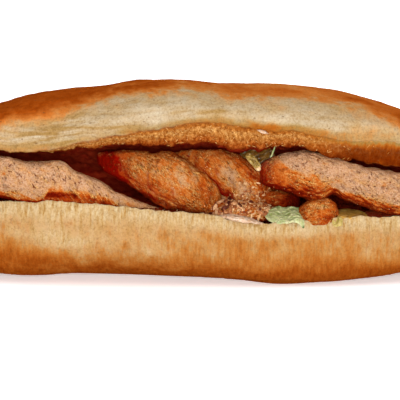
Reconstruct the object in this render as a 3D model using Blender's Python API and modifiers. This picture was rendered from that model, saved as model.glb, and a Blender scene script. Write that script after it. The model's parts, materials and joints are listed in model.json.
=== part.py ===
"""A shish taouk sandwich: a long white roll, slit along one side and packed with grilled chicken,
lettuce, pickle, onion and tomato.

The roll lies along X with its slit towards -Y and its underside on Z = 0. Every size below is in
millimetres, and a mesh is turned into metres when it is made.
"""
import math

import bmesh
import bpy
from mathutils import Euler, Matrix, Vector, noise

MM = 0.001
GAP = 0.35  # clear space left between two pieces that touch

# The roll as a whole.
HALF_LENGTH = 125.0
FRONT_REACH = 41.0
BACK_REACH = 40.6
CROWN_HEIGHT = 83.0
NOSE_HEIGHT = 27.0
SOLE_SINK = 0.5  # the weight of the sandwich flattens this much of the underside

# How full the roll is towards its ends: the power of each outline's superellipse.
TOP_POWER = {-1: 2.6, 1: 2.35}
SOLE_POWER = {-1: 4.0, 1: 3.2}
PLAN_POWER = 2.35

# Lines along the roll, as (x, value) keys that a smooth curve joins.
SWELL = ((-125, 0), (-62, 0), (-43, -0.4), (-25, 1.0), (-8, 1.0), (8, -0.4), (25, -0.5), (45, -0.3),
         (60, -0.4), (125, 0))
CRUST_EDGE = ((-125, 29), (-108, 44), (-86, 56.2), (-77, 56.0), (-63, 58.2), (-52, 60.8), (-41, 62.5),
              (-20, 66.0), (2, 69.4), (24, 66.4), (40, 66.0), (57, 61.8), (83, 60.0), (99, 50), (110, 40),
              (125, 29))
LIP = ((-125, 25), (-108, 36.5), (-83, 35.2), (-72, 35.2), (-60, 36.3), (-41, 35.3), (-4, 31.6), (29, 27.0),
       (66, 29.6), (83, 29.2), (99, 30.5), (110, 33), (125, 25))
TORN_BAND = ((-125, 0.5), (-78, 0.6), (-63, 1.6), (-52, 2.9), (-41, 4.2), (-28, 5.9), (-19, 8.0), (-8, 13.2),
             (4, 11.0), (13, 11.2), (24, 8.6), (40, 7.6), (57, 8.8), (83, 11.0), (110, 2), (125, 0.5))
SOLE_FRONT_Y = ((-125, -2), (-60, -2), (-20, -7), (16, -15), (33, -26), (48, -23), (68, -14), (125, -12))
BELLY_POWER = ((-125, 2.2), (-85, 2.3), (-60, 1.85), (-42, 1.75), (0, 1.9), (40, 2.6), (125, 2.2))

# The slit, which runs from end to end and stops short of both noses.
SLIT_ENDS = (-108.0, 110.0)
SLIT_RUN_OUT = 20.0
SLIT_DEPTH_Y = 27.0
CRUST_EDGE_Y = -38.5
LIP_Y = -38.0
TORN_BAND_DEPTH = 7.0
CROWN_Y = -7.0
SOLE_BACK_Y = 11.0
HINGE_CREASE = 4.0
ROOT_RISE = 2.0  # how far the slit's end lies above the lower lip
ROOF_SAG = 1.0
FLOOR_SAG = 5.5
SHUT_SINK = 0.12  # how deep the skin sinks between edge and lip where the slit is shut

# Heights as shares: of the whole roll's height, or of the part between two named heights.
MARGIN = 0.1  # the least that stays above the crust's edge and below the lip
BAND_SHARE = 0.6  # the most of the slit's height that the torn band takes
BELLY_SHARE = 0.55  # the belly, between underside and lip
FLANK_SHARE = 0.25  # the widest place of the upper half, between its edge and its top
BACK_LOW, HINGE, BACK_HIGH = 0.27, 0.42, 0.57

# How full the quarter curves of the section are, as powers of a superellipse.
SOFT, FULL, FULLER = 1.6, 2.2, 2.3

# Unevenness that the whole roll shares.
WARP = 1.3
WARP_SIZE = 32.0
WARP_DRIFTS = (Vector((0, 0, 0)), Vector((31.4, 17.2, 5.9)), Vector((-12.8, 44.1, 23.3)))

ROLL_RINGS = 48

LEAF_NARROWING = (0.25, 0.2)  # how much narrower and shorter a leaf is at its corners
MORSEL_BUMPS = ((9.0, 1.0), (4.0, 0.4))  # size in millimetres and height of the lumps of meat


def along(keys, x):
    """Value at x of the smooth curve through the (x, value) keys."""
    if x <= keys[0][0]:
        return keys[0][1]
    if x >= keys[-1][0]:
        return keys[-1][1]
    i = max(k for k in range(len(keys) - 1) if keys[k][0] <= x)
    slopes = []
    for k in (i, i + 1):
        before, after = keys[max(k - 1, 0)], keys[min(k + 1, len(keys) - 1)]
        slopes.append((after[1] - before[1]) / (after[0] - before[0]))
    (x0, v0), (x1, v1) = keys[i], keys[i + 1]
    run = x1 - x0
    t = (x - x0) / run
    return (v0 * (2 * t**3 - 3 * t**2 + 1) + v1 * (3 * t**2 - 2 * t**3)
            + run * slopes[0] * (t**3 - 2 * t**2 + t) + run * slopes[1] * (t**3 - t**2))


def fullness(share, power):
    """Height of a superellipse of unit size at a share of its half length."""
    return max(0.0, 1.0 - min(1.0, abs(share)) ** power) ** (1.0 / power)


def ease(t):
    t = min(1.0, max(0.0, t))
    return t * t * (3 - 2 * t)


def straight(start, end, count):
    return [start.lerp(end, i / count) for i in range(count)]


def bent(start, pull, end, count):
    """Points of a quadratic curve that leaves start towards pull and stops short of end."""
    points = []
    for i in range(count):
        t = i / count
        points.append(start * (1 - t) ** 2 + pull * (2 * t * (1 - t)) + end * t**2)
    return points


def quarter(start, end, power, count, upright):
    """Points of a quarter superellipse that leaves start upright or level and stops short of end."""
    points = []
    for i in range(count):
        angle = i / count * math.pi / 2
        near = math.cos(angle) ** (2 / power)
        far = math.sin(angle) ** (2 / power)
        if upright:
            points.append(Vector((end.x + (start.x - end.x) * near, start.y + (end.y - start.y) * far)))
        else:
            points.append(Vector((start.x + (end.x - start.x) * far, end.y + (start.y - end.y) * near)))
    return points


def slit_openness(x):
    """0 where the roll is whole, 1 where the slit has its full depth."""
    left, right = SLIT_ENDS
    return ease((x - left) / SLIT_RUN_OUT) * ease((right - x) / SLIT_RUN_OUT)


def roll_section(x):
    """The (y, z) loop of the roll at x, from the lower lip round the outside and in through the slit."""
    side = -1 if x < 0 else 1
    share = x / HALF_LENGTH
    spread = fullness(share, PLAN_POWER)
    front, back = -FRONT_REACH * spread, BACK_REACH * spread
    top = NOSE_HEIGHT + (CROWN_HEIGHT - NOSE_HEIGHT) * fullness(share, TOP_POWER[side])
    top += along(SWELL, x)
    sole = max(0.0, NOSE_HEIGHT * (1 - fullness(share, SOLE_POWER[side])) - SOLE_SINK)
    tall = top - sole
    edge = min(along(CRUST_EDGE, x), top - MARGIN * tall)
    lip = max(min(along(LIP, x), edge - 0.5), sole + MARGIN * tall)
    band = min(along(TORN_BAND, x), BAND_SHARE * (edge - lip))
    openness = slit_openness(x)

    def at(y, z):
        return Vector((y * spread, z))

    lip_point = Vector((front, lip)).lerp(at(LIP_Y, lip), openness)
    edge_point = Vector((front, edge)).lerp(at(CRUST_EDGE_Y, edge), openness)
    belly = Vector((front, sole + BELLY_SHARE * (lip - sole)))
    sole_front, sole_back = at(along(SOLE_FRONT_Y, x), sole), at(SOLE_BACK_Y, sole)
    back_low = Vector((back, sole + BACK_LOW * tall))
    crease = Vector((back - HINGE_CREASE * openness * spread, sole + HINGE * tall))
    back_high = Vector((back, sole + BACK_HIGH * tall))
    crown = at(CROWN_Y, top)
    flank = Vector((front + 0.6 * openness, edge + FLANK_SHARE * (top - edge)))
    band_point = at(CRUST_EDGE_Y + TORN_BAND_DEPTH, edge - band)
    root = at(SLIT_DEPTH_Y, lip + ROOT_RISE)

    outside = (quarter(lip_point, belly, SOFT, 2, False)
               + quarter(belly, sole_front, along(BELLY_POWER, x), 5, True)
               + straight(sole_front, sole_back, 2)
               + quarter(sole_back, back_low, FULLER, 4, False)
               + quarter(back_low, crease, SOFT, 2, True)
               + quarter(crease, back_high, SOFT, 2, False)
               + quarter(back_high, crown, FULL, 6, True)
               + quarter(crown, flank, FULL, 6, False)
               + quarter(flank, edge_point, SOFT, 2, True))
    inside = (straight(edge_point, band_point, 2)
              + bent(band_point, at(-3, edge - band - ROOF_SAG), root, 5)
              + bent(root, at(0, lip - FLOOR_SAG), lip_point, 5))
    shut = len(inside)
    for i, point in enumerate(inside):
        t = i / shut
        skin = edge_point.lerp(lip_point, t)
        skin.x -= SHUT_SINK * (edge - lip) * math.sin(math.pi * t)
        inside[i] = skin.lerp(point, openness)
    return outside + inside


def warped(point):
    """A point of the roll, moved by the slow unevenness of real baking."""
    fade = fullness(point.x / HALF_LENGTH, PLAN_POWER)
    shift = Vector([noise.noise(point / WARP_SIZE + drift) for drift in WARP_DRIFTS])
    moved = point + shift * (WARP * fade)
    moved.z = max(0.0, moved.z) if point.z > 0.3 else 0.0
    return moved


def new_object(name, mesh, finish, collection):
    piece = bpy.data.objects.new(name, mesh)
    mesh.materials.append(finish)
    collection.objects.link(piece)
    return piece


def finished_mesh(name, shape, grow=0.0):
    """Turns a bmesh in millimetres into a mesh in metres, with its faces out and grown by a skin."""
    if shape.calc_volume(signed=True) < 0:
        bmesh.ops.reverse_faces(shape, faces=shape.faces)
    shape.normal_update()
    for vertex in shape.verts:
        vertex.co += vertex.normal * grow
    bmesh.ops.scale(shape, vec=(MM, MM, MM), verts=shape.verts)
    mesh = bpy.data.meshes.new(name)
    shape.to_mesh(mesh)
    shape.free()
    mesh.shade_smooth()
    return mesh


def roll(name, finish, collection):
    """The bread: a ball whose rings become the sections of the roll."""
    sides = len(roll_section(0.0))
    shape = bmesh.new()
    bmesh.ops.create_uvsphere(shape, u_segments=sides, v_segments=ROLL_RINGS, radius=1.0)
    sections = {}
    for vertex in shape.verts:
        ring = round(math.acos(max(-1.0, min(1.0, vertex.co.z))) / math.pi * ROLL_RINGS)
        x = -HALF_LENGTH * math.cos(math.pi * ring / ROLL_RINGS)
        if ring in (0, ROLL_RINGS):
            vertex.co = Vector((x, 0.0, NOSE_HEIGHT))
            continue
        if ring not in sections:
            sections[ring] = roll_section(x)
        turn = round(math.atan2(vertex.co.y, vertex.co.x) / math.tau * sides) % sides
        y, z = sections[ring][turn]
        vertex.co = warped(Vector((x, y, z)))
    return new_object(name, finished_mesh(name, shape), finish, collection)


def morsel(name, finish, collection, spine, grow=0.0, blunt=3.0, square=2.5, lumps=1.0, seed=0,
           rings=16, sides=14):
    """A piece of meat: a ball drawn out along x on a spine of (x, y, z, half height, half depth)."""
    start, end = spine[0][0], spine[-1][0]
    lines = [[(key[0], key[i]) for key in spine] for i in range(1, 5)]
    shape = bmesh.new()
    bmesh.ops.create_uvsphere(shape, u_segments=sides, v_segments=rings, radius=1.0)
    drift = Vector((seed * 7.3, seed * 3.1, seed * 1.7))
    for vertex in shape.verts:
        share = vertex.co.z
        x = (start + end) / 2 + share * (end - start) / 2
        y, z, high, deep = (along(line, x) for line in lines)
        full = fullness(share, blunt)
        angle = math.atan2(vertex.co.y, vertex.co.x)
        round_y = math.copysign(abs(math.cos(angle)) ** (2 / square), math.cos(angle))
        round_z = math.copysign(abs(math.sin(angle)) ** (2 / square), math.sin(angle))
        place = Vector((x, y + round_y * deep * full, z + round_z * high * full))
        outward = Vector((share**5, round_y * full, round_z * full)).normalized()
        bump = lumps * sum(noise.noise(place / size + drift) * height for size, height in MORSEL_BUMPS)
        vertex.co = place + outward * bump
    return new_object(name, finished_mesh(name, shape, grow), finish, collection)


def leaf(name, finish, collection, size, place, turn, shape_of, grow=0.0, thick=0.8, cells=(12, 8)):
    """A thin wavy sheet: a flat grid lifted by shape_of(u, v), thickened and put in place."""
    shape = bmesh.new()
    bmesh.ops.create_grid(shape, x_segments=cells[0], y_segments=cells[1], size=0.5)
    bmesh.ops.triangulate(shape, faces=shape.faces)
    wide, long = size[0] + 2 * grow, size[1] + 2 * grow
    into = Matrix.LocRotScale(Vector(place), Euler([math.radians(a) for a in turn]), None)
    for vertex in shape.verts:
        u, v = vertex.co.x, vertex.co.y
        narrow = 1 - LEAF_NARROWING[0] * abs(2 * v) ** 3
        short = 1 - LEAF_NARROWING[1] * abs(2 * u) ** 3
        point = Vector((u * wide * narrow, v * long * short, shape_of(u, v)))
        vertex.co = into @ point
    piece = new_object(name, finished_mesh(name, shape), finish, collection)
    skin = piece.modifiers.new("thickness", "SOLIDIFY")
    skin.thickness = (thick + 2 * grow) * MM
    skin.offset = 0.0
    return piece


def slice_of(name, finish, collection, radius, thick, place, turn, grow=0.0, sides=28):
    """A round slice of a vegetable, with a softly rounded rim."""
    shape = bmesh.new()
    bmesh.ops.create_cone(shape, cap_ends=True, segments=sides, radius1=radius + grow,
                          radius2=radius + grow, depth=thick + 2 * grow)
    bmesh.ops.rotate(shape, verts=shape.verts, matrix=Euler([math.radians(a) for a in turn]).to_matrix())
    bmesh.ops.translate(shape, verts=shape.verts, vec=place)
    piece = new_object(name, finished_mesh(name, shape), finish, collection)
    rim = piece.modifiers.new("rim", "BEVEL")
    rim.width = 0.25 * thick * MM
    rim.segments = 2
    return piece


def freeze(piece):
    """Keeps a piece's evaluated mesh and drops its modifiers."""
    graph = bpy.context.evaluated_depsgraph_get()
    mesh = bpy.data.meshes.new_from_object(piece.evaluated_get(graph))
    piece.modifiers.clear()
    old, piece.data = piece.data, mesh
    bpy.data.meshes.remove(old)


def finish_of(name, colour, roughness):
    material = bpy.data.materials.new(name)
    material.use_nodes = True
    shader = material.node_tree.nodes["Principled BSDF"]
    shader.inputs["Base Color"].default_value = (*colour, 1.0)
    shader.inputs["Roughness"].default_value = roughness
    return material


# The chicken: (x, y, z, half height, half depth) keys along each piece.
STRIP_LEFT = ((-104, -17, 44, 6.5, 13), (-83, -18.5, 43.6, 7.8, 16.5), (-70, -19, 41.9, 6.7, 17),
              (-58, -19, 43.8, 5.6, 17), (-51, -19, 41.0, 4.4, 16.5), (-44, -18.5, 38.3, 4.2, 16),
              (-26, -18, 30.4, 3.0, 15), (-11, -17, 27.4, 2.4, 13))
CHUNK_LEFT = ((-45, -10, 50.8, 5.4, 9), (-33, -11, 47.7, 6.6, 13), (-21, -13, 43.7, 10.0, 15),
              (-12, -16, 41.7, 11.5, 15.5), (-4, -17, 39.3, 10.7, 15), (9, -17, 33.8, 8.8, 13))
SLAB_MIDDLE = ((-12, -6, 51.0, 5.0, 11), (0, -8, 49.6, 5.9, 14), (10, -9, 44.8, 9.8, 15),
               (18, -10, 40.4, 10.6, 15), (31, -10, 33.5, 8.0, 12))
STRIP_RIGHT = ((25, -17, 46.4, 7.0, 14), (32, -17, 46.9, 8.0, 16.5), (42, -17.5, 46.3, 9.9, 17),
               (50, -17.5, 44.7, 9.7, 17), (55, -17.5, 46.0, 7.4, 16.5), (62, -17.5, 43.2, 7.8, 16.5),
               (83, -16.5, 38.0, 8.6, 15.5), (101, -15, 36.0, 7.0, 12))
NUGGET = ((41, -28.2, 29.6, 5.6, 7.5), (49, -28.8, 30.0, 6.4, 8.0), (57.5, -28.8, 30.8, 6.0, 7.0))
CHUNK_BACK = ((25, -12, 34.0, 4.0, 9), (36, -13, 33.6, 5.0, 10), (48, -12, 33.5, 4.0, 9))
HEAP_CORE = ((3, -18, 29.6, 3.6, 13), (15, -20, 30.4, 4.6, 15), (28, -19, 29.6, 3.8, 14))

# The crumbs of meat on the heap, in a row that wanders up its front.
HEAP_CRUMBS = 13
CRUMB_ROW = (6, 25)  # from x to x
CRUMB_FRONT = (-33.5, 32.2)  # y and z of the lowest
CRUMB_CLIMB = (9, 2.0)  # how far back and up the highest lies
CRUMB_REACH = (1.9, 2.8)  # half length of the shortest and longest


def strip_left(name, finish, collection, grow=0.0):
    return morsel(name, finish, collection, STRIP_LEFT, grow, square=3.0, seed=1, rings=22, sides=16)


def chunk_left(name, finish, collection, grow=0.0):
    return morsel(name, finish, collection, CHUNK_LEFT, grow, seed=2, rings=18, sides=16)


def slab_middle(name, finish, collection, grow=0.0):
    return morsel(name, finish, collection, SLAB_MIDDLE, grow, seed=3, rings=18, sides=16)


def strip_right(name, finish, collection, grow=0.0):
    return morsel(name, finish, collection, STRIP_RIGHT, grow, blunt=4.0, seed=4, rings=22, sides=16)


def nugget(name, finish, collection, grow=0.0):
    return morsel(name, finish, collection, NUGGET, grow, blunt=2.4, seed=5, rings=12, sides=12)


def chunk_back(name, finish, collection, grow=0.0):
    return morsel(name, finish, collection, CHUNK_BACK, grow, seed=6, rings=12, sides=12)


def lettuce_front(name, finish, collection, grow=0.0):
    def ruffle(u, v):
        return 1.3 * math.sin(9 * u + 1.2) * (0.7 - v) + 0.7 * math.sin(15 * u + 4 * v)
    return leaf(name, finish, collection, (21, 12.5), (36, -30.4, 30.2), (18, 0, 3), ruffle, grow)


def lettuce_right(name, finish, collection, grow=0.0):
    def curl(u, v):
        return 0.4 * math.sin(7 * u) - 1.5 * v * v
    return leaf(name, finish, collection, (5.4, 6.2), (57.3, -37.5, 29.0), (50, 0, -12), curl, grow,
                cells=(6, 6))


def onion_strip(name, finish, collection, grow=0.0):
    def arch(u, v):
        return 1.2 * math.cos(3 * u)
    return leaf(name, finish, collection, (12, 4.5), (24.2, -23.5, 49.2), (70, 50, 0), arch, grow,
                thick=1.3, cells=(8, 3))


def pickle_top(name, finish, collection, grow=0.0):
    return slice_of(name, finish, collection, 8.5, 2.4, (24, -16.5, 49.5), (62, 0, -14), grow)


def pickle_low(name, finish, collection, grow=0.0):
    return slice_of(name, finish, collection, 7.5, 2.4, (62.5, -26.5, 29.6), (5, 3, 0), grow)


def tomato_slice(name, finish, collection, grow=0.0):
    return slice_of(name, finish, collection, 11.0, 2.0, (80, -20, 28.2), (4, -2, 0), grow, sides=30)


def chopped_heap(name, finish, collection, grow=0.0):
    """Chopped meat under the big pieces: a low mound with crumbs of meat fused on."""
    mound = morsel(name, finish, collection, HEAP_CORE, grow, lumps=0.6, seed=7, rings=12, sides=14)
    crumbs = bpy.data.collections.new(name + "_crumbs")
    for i in range(HEAP_CRUMBS):
        climb = (i * 0.618) % 1.0
        x = CRUMB_ROW[0] + (CRUMB_ROW[1] - CRUMB_ROW[0]) * (i + 0.5) / HEAP_CRUMBS
        y = CRUMB_FRONT[0] + CRUMB_CLIMB[0] * climb
        z = CRUMB_FRONT[1] + CRUMB_CLIMB[1] * climb + 0.6 * math.sin(2.3 * i)
        long = CRUMB_REACH[0] + (CRUMB_REACH[1] - CRUMB_REACH[0]) * ((i * 0.37) % 1.0)
        spine = [(x - long, y, z, 1.1, 1.3), (x, y, z, 1.6, 1.8), (x + long, y, z, 1.2, 1.4)]
        morsel(f"crumb_{i}", finish, crumbs, spine, grow, blunt=2.3, lumps=0.5, seed=20 + i, rings=5,
               sides=6)
    join = mound.modifiers.new("crumbs", "BOOLEAN")
    join.operation = "UNION"
    join.operand_type = "COLLECTION"
    join.collection = crumbs
    bpy.context.scene.collection.children.link(crumbs)
    freeze(mound)
    for crumb in list(crumbs.objects):
        bpy.data.objects.remove(crumb)
    bpy.data.collections.remove(crumbs)
    return mound


def boxes_meet(one, other):
    """Whether the two pieces' boxes overlap."""
    spans = []
    for piece in (one, other):
        corners = [Vector(corner) for corner in piece.bound_box]
        spans.append([(min(c[axis] for c in corners), max(c[axis] for c in corners)) for axis in range(3)])
    return all(a[0] < b[1] and b[0] < a[1] for a, b in zip(*spans))


def make_room(piece, cutter):
    """Cuts a neighbour's shape out of a piece, with the gap that the cutter carries."""
    room = piece.modifiers.new("room_for_" + cutter.name, "BOOLEAN")
    room.operation = "DIFFERENCE"
    room.object = cutter


def build_sandwich():
    for old in list(bpy.data.objects):
        bpy.data.objects.remove(old)
    sandwich = bpy.data.collections.new("shish_taouk_sandwich")
    cutters = bpy.data.collections.new("cutters")
    for collection in (sandwich, cutters):
        bpy.context.scene.collection.children.link(collection)

    meat = finish_of("grilled_chicken", (0.42, 0.17, 0.07), 0.55)
    green = finish_of("lettuce", (0.36, 0.52, 0.20), 0.45)
    pickle = finish_of("pickle", (0.27, 0.24, 0.06), 0.35)
    onion = finish_of("onion", (0.78, 0.70, 0.52), 0.40)
    tomato = finish_of("tomato", (0.50, 0.07, 0.03), 0.30)
    bread = finish_of("baked_roll", (0.66, 0.40, 0.17), 0.70)

    # What lies in front comes first, and each later piece makes room for the ones before it.
    fillings = (("chicken_strip_left", strip_left, meat), ("chicken_strip_right", strip_right, meat),
                ("chicken_chunk_left", chunk_left, meat), ("chicken_slab_middle", slab_middle, meat),
                ("chicken_nugget", nugget, meat), ("lettuce_leaf", lettuce_front, green),
                ("onion_strip", onion_strip, onion), ("pickle_slice_top", pickle_top, pickle),
                ("pickle_slice_low", pickle_low, pickle), ("tomato_slice", tomato_slice, tomato),
                ("lettuce_scrap", lettuce_right, green), ("chicken_chunk_back", chunk_back, meat),
                ("chopped_chicken", chopped_heap, meat))
    placed = []
    for name, make, finish in fillings:
        piece = make(name, finish, sandwich)
        for cutter in placed:
            if boxes_meet(piece, cutter):
                make_room(piece, cutter)
        room = make("room_" + name, finish, cutters, GAP)
        room.hide_render = True
        room.display_type = "WIRE"
        placed.append(room)
    bun = roll("roll", bread, sandwich)
    for cutter in placed:
        make_room(bun, cutter)


build_sandwich()
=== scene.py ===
# %% [markdown]
# # A shish taouk sandwich
# A long white roll, slit along the side that faces us and packed with grilled chicken, chopped meat,
# lettuce, pickle, onion and tomato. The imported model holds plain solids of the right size. Each cell
# below dresses one of them: a finely meshed skin with the real relief, and a finish worked out from
# noise. Lengths are in millimetres until a mesh is finished, because that is how a baker thinks.

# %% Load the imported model
import json
import math

import bmesh
import bpy
from mathutils import Euler, Matrix, Vector, noise

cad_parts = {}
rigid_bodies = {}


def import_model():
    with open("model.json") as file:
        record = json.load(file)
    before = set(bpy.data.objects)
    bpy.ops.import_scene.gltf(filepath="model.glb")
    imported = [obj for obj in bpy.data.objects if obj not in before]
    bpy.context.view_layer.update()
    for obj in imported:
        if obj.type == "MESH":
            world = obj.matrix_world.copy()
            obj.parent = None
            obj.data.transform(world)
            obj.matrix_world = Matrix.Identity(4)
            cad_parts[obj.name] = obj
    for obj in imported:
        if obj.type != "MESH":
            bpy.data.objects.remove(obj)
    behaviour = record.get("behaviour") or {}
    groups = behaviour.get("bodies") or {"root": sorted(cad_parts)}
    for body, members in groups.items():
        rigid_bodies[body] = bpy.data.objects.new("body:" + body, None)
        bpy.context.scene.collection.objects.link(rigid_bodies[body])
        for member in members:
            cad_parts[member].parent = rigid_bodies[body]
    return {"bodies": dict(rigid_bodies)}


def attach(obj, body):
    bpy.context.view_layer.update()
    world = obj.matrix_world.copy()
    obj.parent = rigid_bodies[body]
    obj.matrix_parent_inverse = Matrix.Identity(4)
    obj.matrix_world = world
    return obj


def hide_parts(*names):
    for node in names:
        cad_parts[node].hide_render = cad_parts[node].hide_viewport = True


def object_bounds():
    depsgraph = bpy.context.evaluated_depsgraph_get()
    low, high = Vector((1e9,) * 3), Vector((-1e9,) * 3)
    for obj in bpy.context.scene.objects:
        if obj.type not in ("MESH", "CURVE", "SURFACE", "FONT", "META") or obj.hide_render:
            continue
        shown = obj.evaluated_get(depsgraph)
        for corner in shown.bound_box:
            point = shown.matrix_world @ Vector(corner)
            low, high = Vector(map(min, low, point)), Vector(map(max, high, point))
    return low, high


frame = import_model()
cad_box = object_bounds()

MM = 0.001
BODY = next(iter(frame["bodies"]))
for end in cad_box:
    print("model box corner, mm:", [round(value / MM, 1) for value in end])

# %% [markdown]
# ## The camera
# The photograph looks at the slit from a little above, through a long lens, and its 400 pixels span
# two thirds of the roll. A camera on a sphere round the middle of the filling repeats that: the lens
# follows from the distance and the width that has to fit.

# %% The camera
AIM = Vector((0.0, -0.0300, 0.0358))
DISTANCE = 0.72
ELEVATION = math.radians(9.0)
SHOWN_WIDTH = 0.1667
SENSOR = 36.0


def make_camera():
    lens = bpy.data.cameras.new("camera")
    lens.sensor_width = SENSOR
    lens.lens = SENSOR * DISTANCE / SHOWN_WIDTH
    camera = bpy.data.objects.new("camera", lens)
    back = Vector((0.0, -math.cos(ELEVATION), math.sin(ELEVATION)))
    camera.location = AIM + back * DISTANCE
    camera.rotation_euler = (-back).to_track_quat("-Z", "Y").to_euler()
    bpy.context.scene.collection.objects.link(camera)
    bpy.context.scene.camera = camera
    return lens


print("lens, mm:", round(make_camera().lens, 1))

# %% [markdown]
# ## Light and floor
# Food is photographed in a white tent: light comes from everywhere, a little more from above. A
# bright even world does most of it. A sun that is as wide as a big softbox adds direction without hard
# shadows, and two soft lamps add gentle light from the front and from behind. The floor is a plain white
# sheet that this light turns as white as the photograph's background.

# %% Light and floor
SKY_STRENGTH = 0.42
SUN_STRENGTH = 1.15
SUN_WIDTH = math.radians(60.0)
SUN_FROM = (0.05, -0.42, 1.0)
FLOOR_GLOW = 0.44  # lifts the shadow on the sheet, as a lit table would
LAMPS = (  # name, place in metres, width in metres, watts
    ("front", (0.03, -1.00, 0.14), 0.40, 10.5),
    ("back", (0.25, 0.80, 0.60), 0.50, 6.0),
)


def hang(name, light, place):
    lamp = bpy.data.objects.new(name, light)
    lamp.location = place
    lamp.rotation_euler = (Vector(place) - AIM).to_track_quat("Z", "Y").to_euler()
    bpy.context.scene.collection.objects.link(lamp)


def make_lamps():
    sun = bpy.data.lights.new("softbox_sun", "SUN")
    sun.energy = SUN_STRENGTH
    sun.angle = SUN_WIDTH
    hang("softbox_sun", sun, SUN_FROM)
    for name, place, width, watts in LAMPS:
        light = bpy.data.lights.new(name, "AREA")
        light.size = width
        light.energy = watts
        hang(name, light, place)


def make_world():
    world = bpy.data.worlds.new("white_tent")
    world.use_nodes = True
    sky = world.node_tree.nodes["Background"]
    sky.inputs["Color"].default_value = (1.0, 1.0, 1.0, 1.0)
    sky.inputs["Strength"].default_value = SKY_STRENGTH
    bpy.context.scene.world = world


def make_floor():
    sheet = bmesh.new()
    bmesh.ops.create_grid(sheet, x_segments=1, y_segments=1, size=6.0)
    mesh = bpy.data.meshes.new("floor")
    sheet.to_mesh(mesh)
    sheet.free()
    floor = bpy.data.objects.new("floor", mesh)
    paint = bpy.data.materials.new("white_sheet")
    paint.use_nodes = True
    shader = paint.node_tree.nodes["Principled BSDF"]
    shader.inputs["Base Color"].default_value = (0.95, 0.95, 0.95, 1.0)
    shader.inputs["Roughness"].default_value = 0.9
    shader.inputs["Specular IOR Level"].default_value = 0.0
    shader.inputs["Emission Color"].default_value = (1.0, 1.0, 1.0, 1.0)
    shader.inputs["Emission Strength"].default_value = FLOOR_GLOW
    mesh.materials.append(paint)
    bpy.context.scene.collection.objects.link(floor)


make_lamps()
make_world()
make_floor()
bpy.context.scene.view_settings.view_transform = "Standard"
print("lamps:", 1 + len(LAMPS))

# %% [markdown]
# ## Small tools
# Three kinds of helper serve every piece. The first read a smooth curve through a few keys, as the
# model's own shapes do. The second give noise of a chosen size, alone or in layers, which makes dough
# and meat uneven the same way each time. The third turn rings of points into a closed skin, push its
# points out along their normals, and store numbers on them that a finish can read.

# %% Curves and noise


def along(keys, x):
    """Value at x of the smooth curve through the (x, value) keys."""
    if x <= keys[0][0]:
        return keys[0][1]
    if x >= keys[-1][0]:
        return keys[-1][1]
    i = max(k for k in range(len(keys) - 1) if keys[k][0] <= x)
    slopes = []
    for k in (i, i + 1):
        before, after = keys[max(k - 1, 0)], keys[min(k + 1, len(keys) - 1)]
        slopes.append((after[1] - before[1]) / (after[0] - before[0]))
    (x0, v0), (x1, v1) = keys[i], keys[i + 1]
    run = x1 - x0
    t = (x - x0) / run
    return (v0 * (2 * t**3 - 3 * t**2 + 1) + v1 * (3 * t**2 - 2 * t**3)
            + run * slopes[0] * (t**3 - 2 * t**2 + t) + run * slopes[1] * (t**3 - t**2))


def fullness(share, power):
    """Height of a superellipse of unit size at a share of its half length."""
    return max(0.0, 1.0 - min(1.0, abs(share)) ** power) ** (1.0 / power)


def ease(t):
    """0 below 0, 1 above 1, and a soft step in between."""
    t = min(1.0, max(0.0, t))
    return t * t * (3 - 2 * t)


def rise(value, start, reach):
    """0 up to start, and from there a soft step to 1 over reach."""
    return ease((value - start) / reach)


def lumps(point, size, drift=0.0):
    """Noise from -1 to 1 at a point, with bumps about as large as size, one number or three."""
    wide, deep, high = (size, size, size) if isinstance(size, (int, float)) else size
    return noise.noise(Vector((point.x / wide + drift, point.y / deep + 3 * drift, point.z / high - drift)))


def layered(point, layers, seed=0):
    """Several noises added up; each layer is (amount, size, drift)."""
    return sum(amount * lumps(point, size, drift + seed) for amount, size, drift in layers)


def spot(p, x, z, wide, high):
    """1 at (x, z) as seen from the front, falling away over wide and high millimetres."""
    return math.exp(-((p.x - x) / wide) ** 2 - ((p.z - z) / high) ** 2)


def spots_at(p, spots):
    """Several spots added up; each is (x, z, wide, high, amount)."""
    return sum(amount * spot(p, *where) for *where, amount in spots)


print("noise of two sizes at one place:", [round(lumps(Vector((5, 2, 1)), size), 2) for size in (9, 2)])

# %% Skins from rings of points


def lofted(name, rings, first, last):
    """A closed mesh through rings of points in millimetres, drawn to a pole at each end."""
    sides = len(rings[0])
    points = [first] + [point for ring in rings for point in ring] + [last]
    pole = len(points) - 1
    faces = []
    for r in range(len(rings) - 1):
        near, far = 1 + r * sides, 1 + (r + 1) * sides
        for i in range(sides):
            j = (i + 1) % sides
            faces.append((near + i, near + j, far + j, far + i))
    for i in range(sides):
        j = (i + 1) % sides
        faces.append((0, 1 + j, 1 + i))
        faces.append((pole, pole - sides + i, pole - sides + j))
    mesh = bpy.data.meshes.new(name)
    mesh.from_pydata([point * MM for point in points], [], faces)
    turn_outwards(mesh)
    return mesh


def turn_outwards(mesh):
    shape = bmesh.new()
    shape.from_mesh(mesh)
    if shape.calc_volume(signed=True) < 0:
        bmesh.ops.reverse_faces(shape, faces=shape.faces)
    shape.to_mesh(mesh)
    shape.free()
    mesh.shade_smooth()


def raise_relief(mesh, height_at):
    """Moves each point along its normal by height_at(index, place, normal), in millimetres."""
    normals = [normal.vector.copy() for normal in mesh.vertex_normals]
    for vertex, normal in zip(mesh.vertices, normals):
        vertex.co += normal * (height_at(vertex.index, vertex.co / MM, normal) * MM)
    mesh.update()


def mark(mesh, name, values):
    """Stores one number for each point, which a finish or a scatter can read by name."""
    store = mesh.attributes.new(name, "FLOAT", "POINT")
    store.data.foreach_set("value", values)


def mark_by(mesh, name, value_at):
    """Stores value_at(place, normal) for each point, the place in millimetres."""
    mark(mesh, name, [value_at(vertex.co / MM, vertex.normal) for vertex in mesh.vertices])


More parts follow.
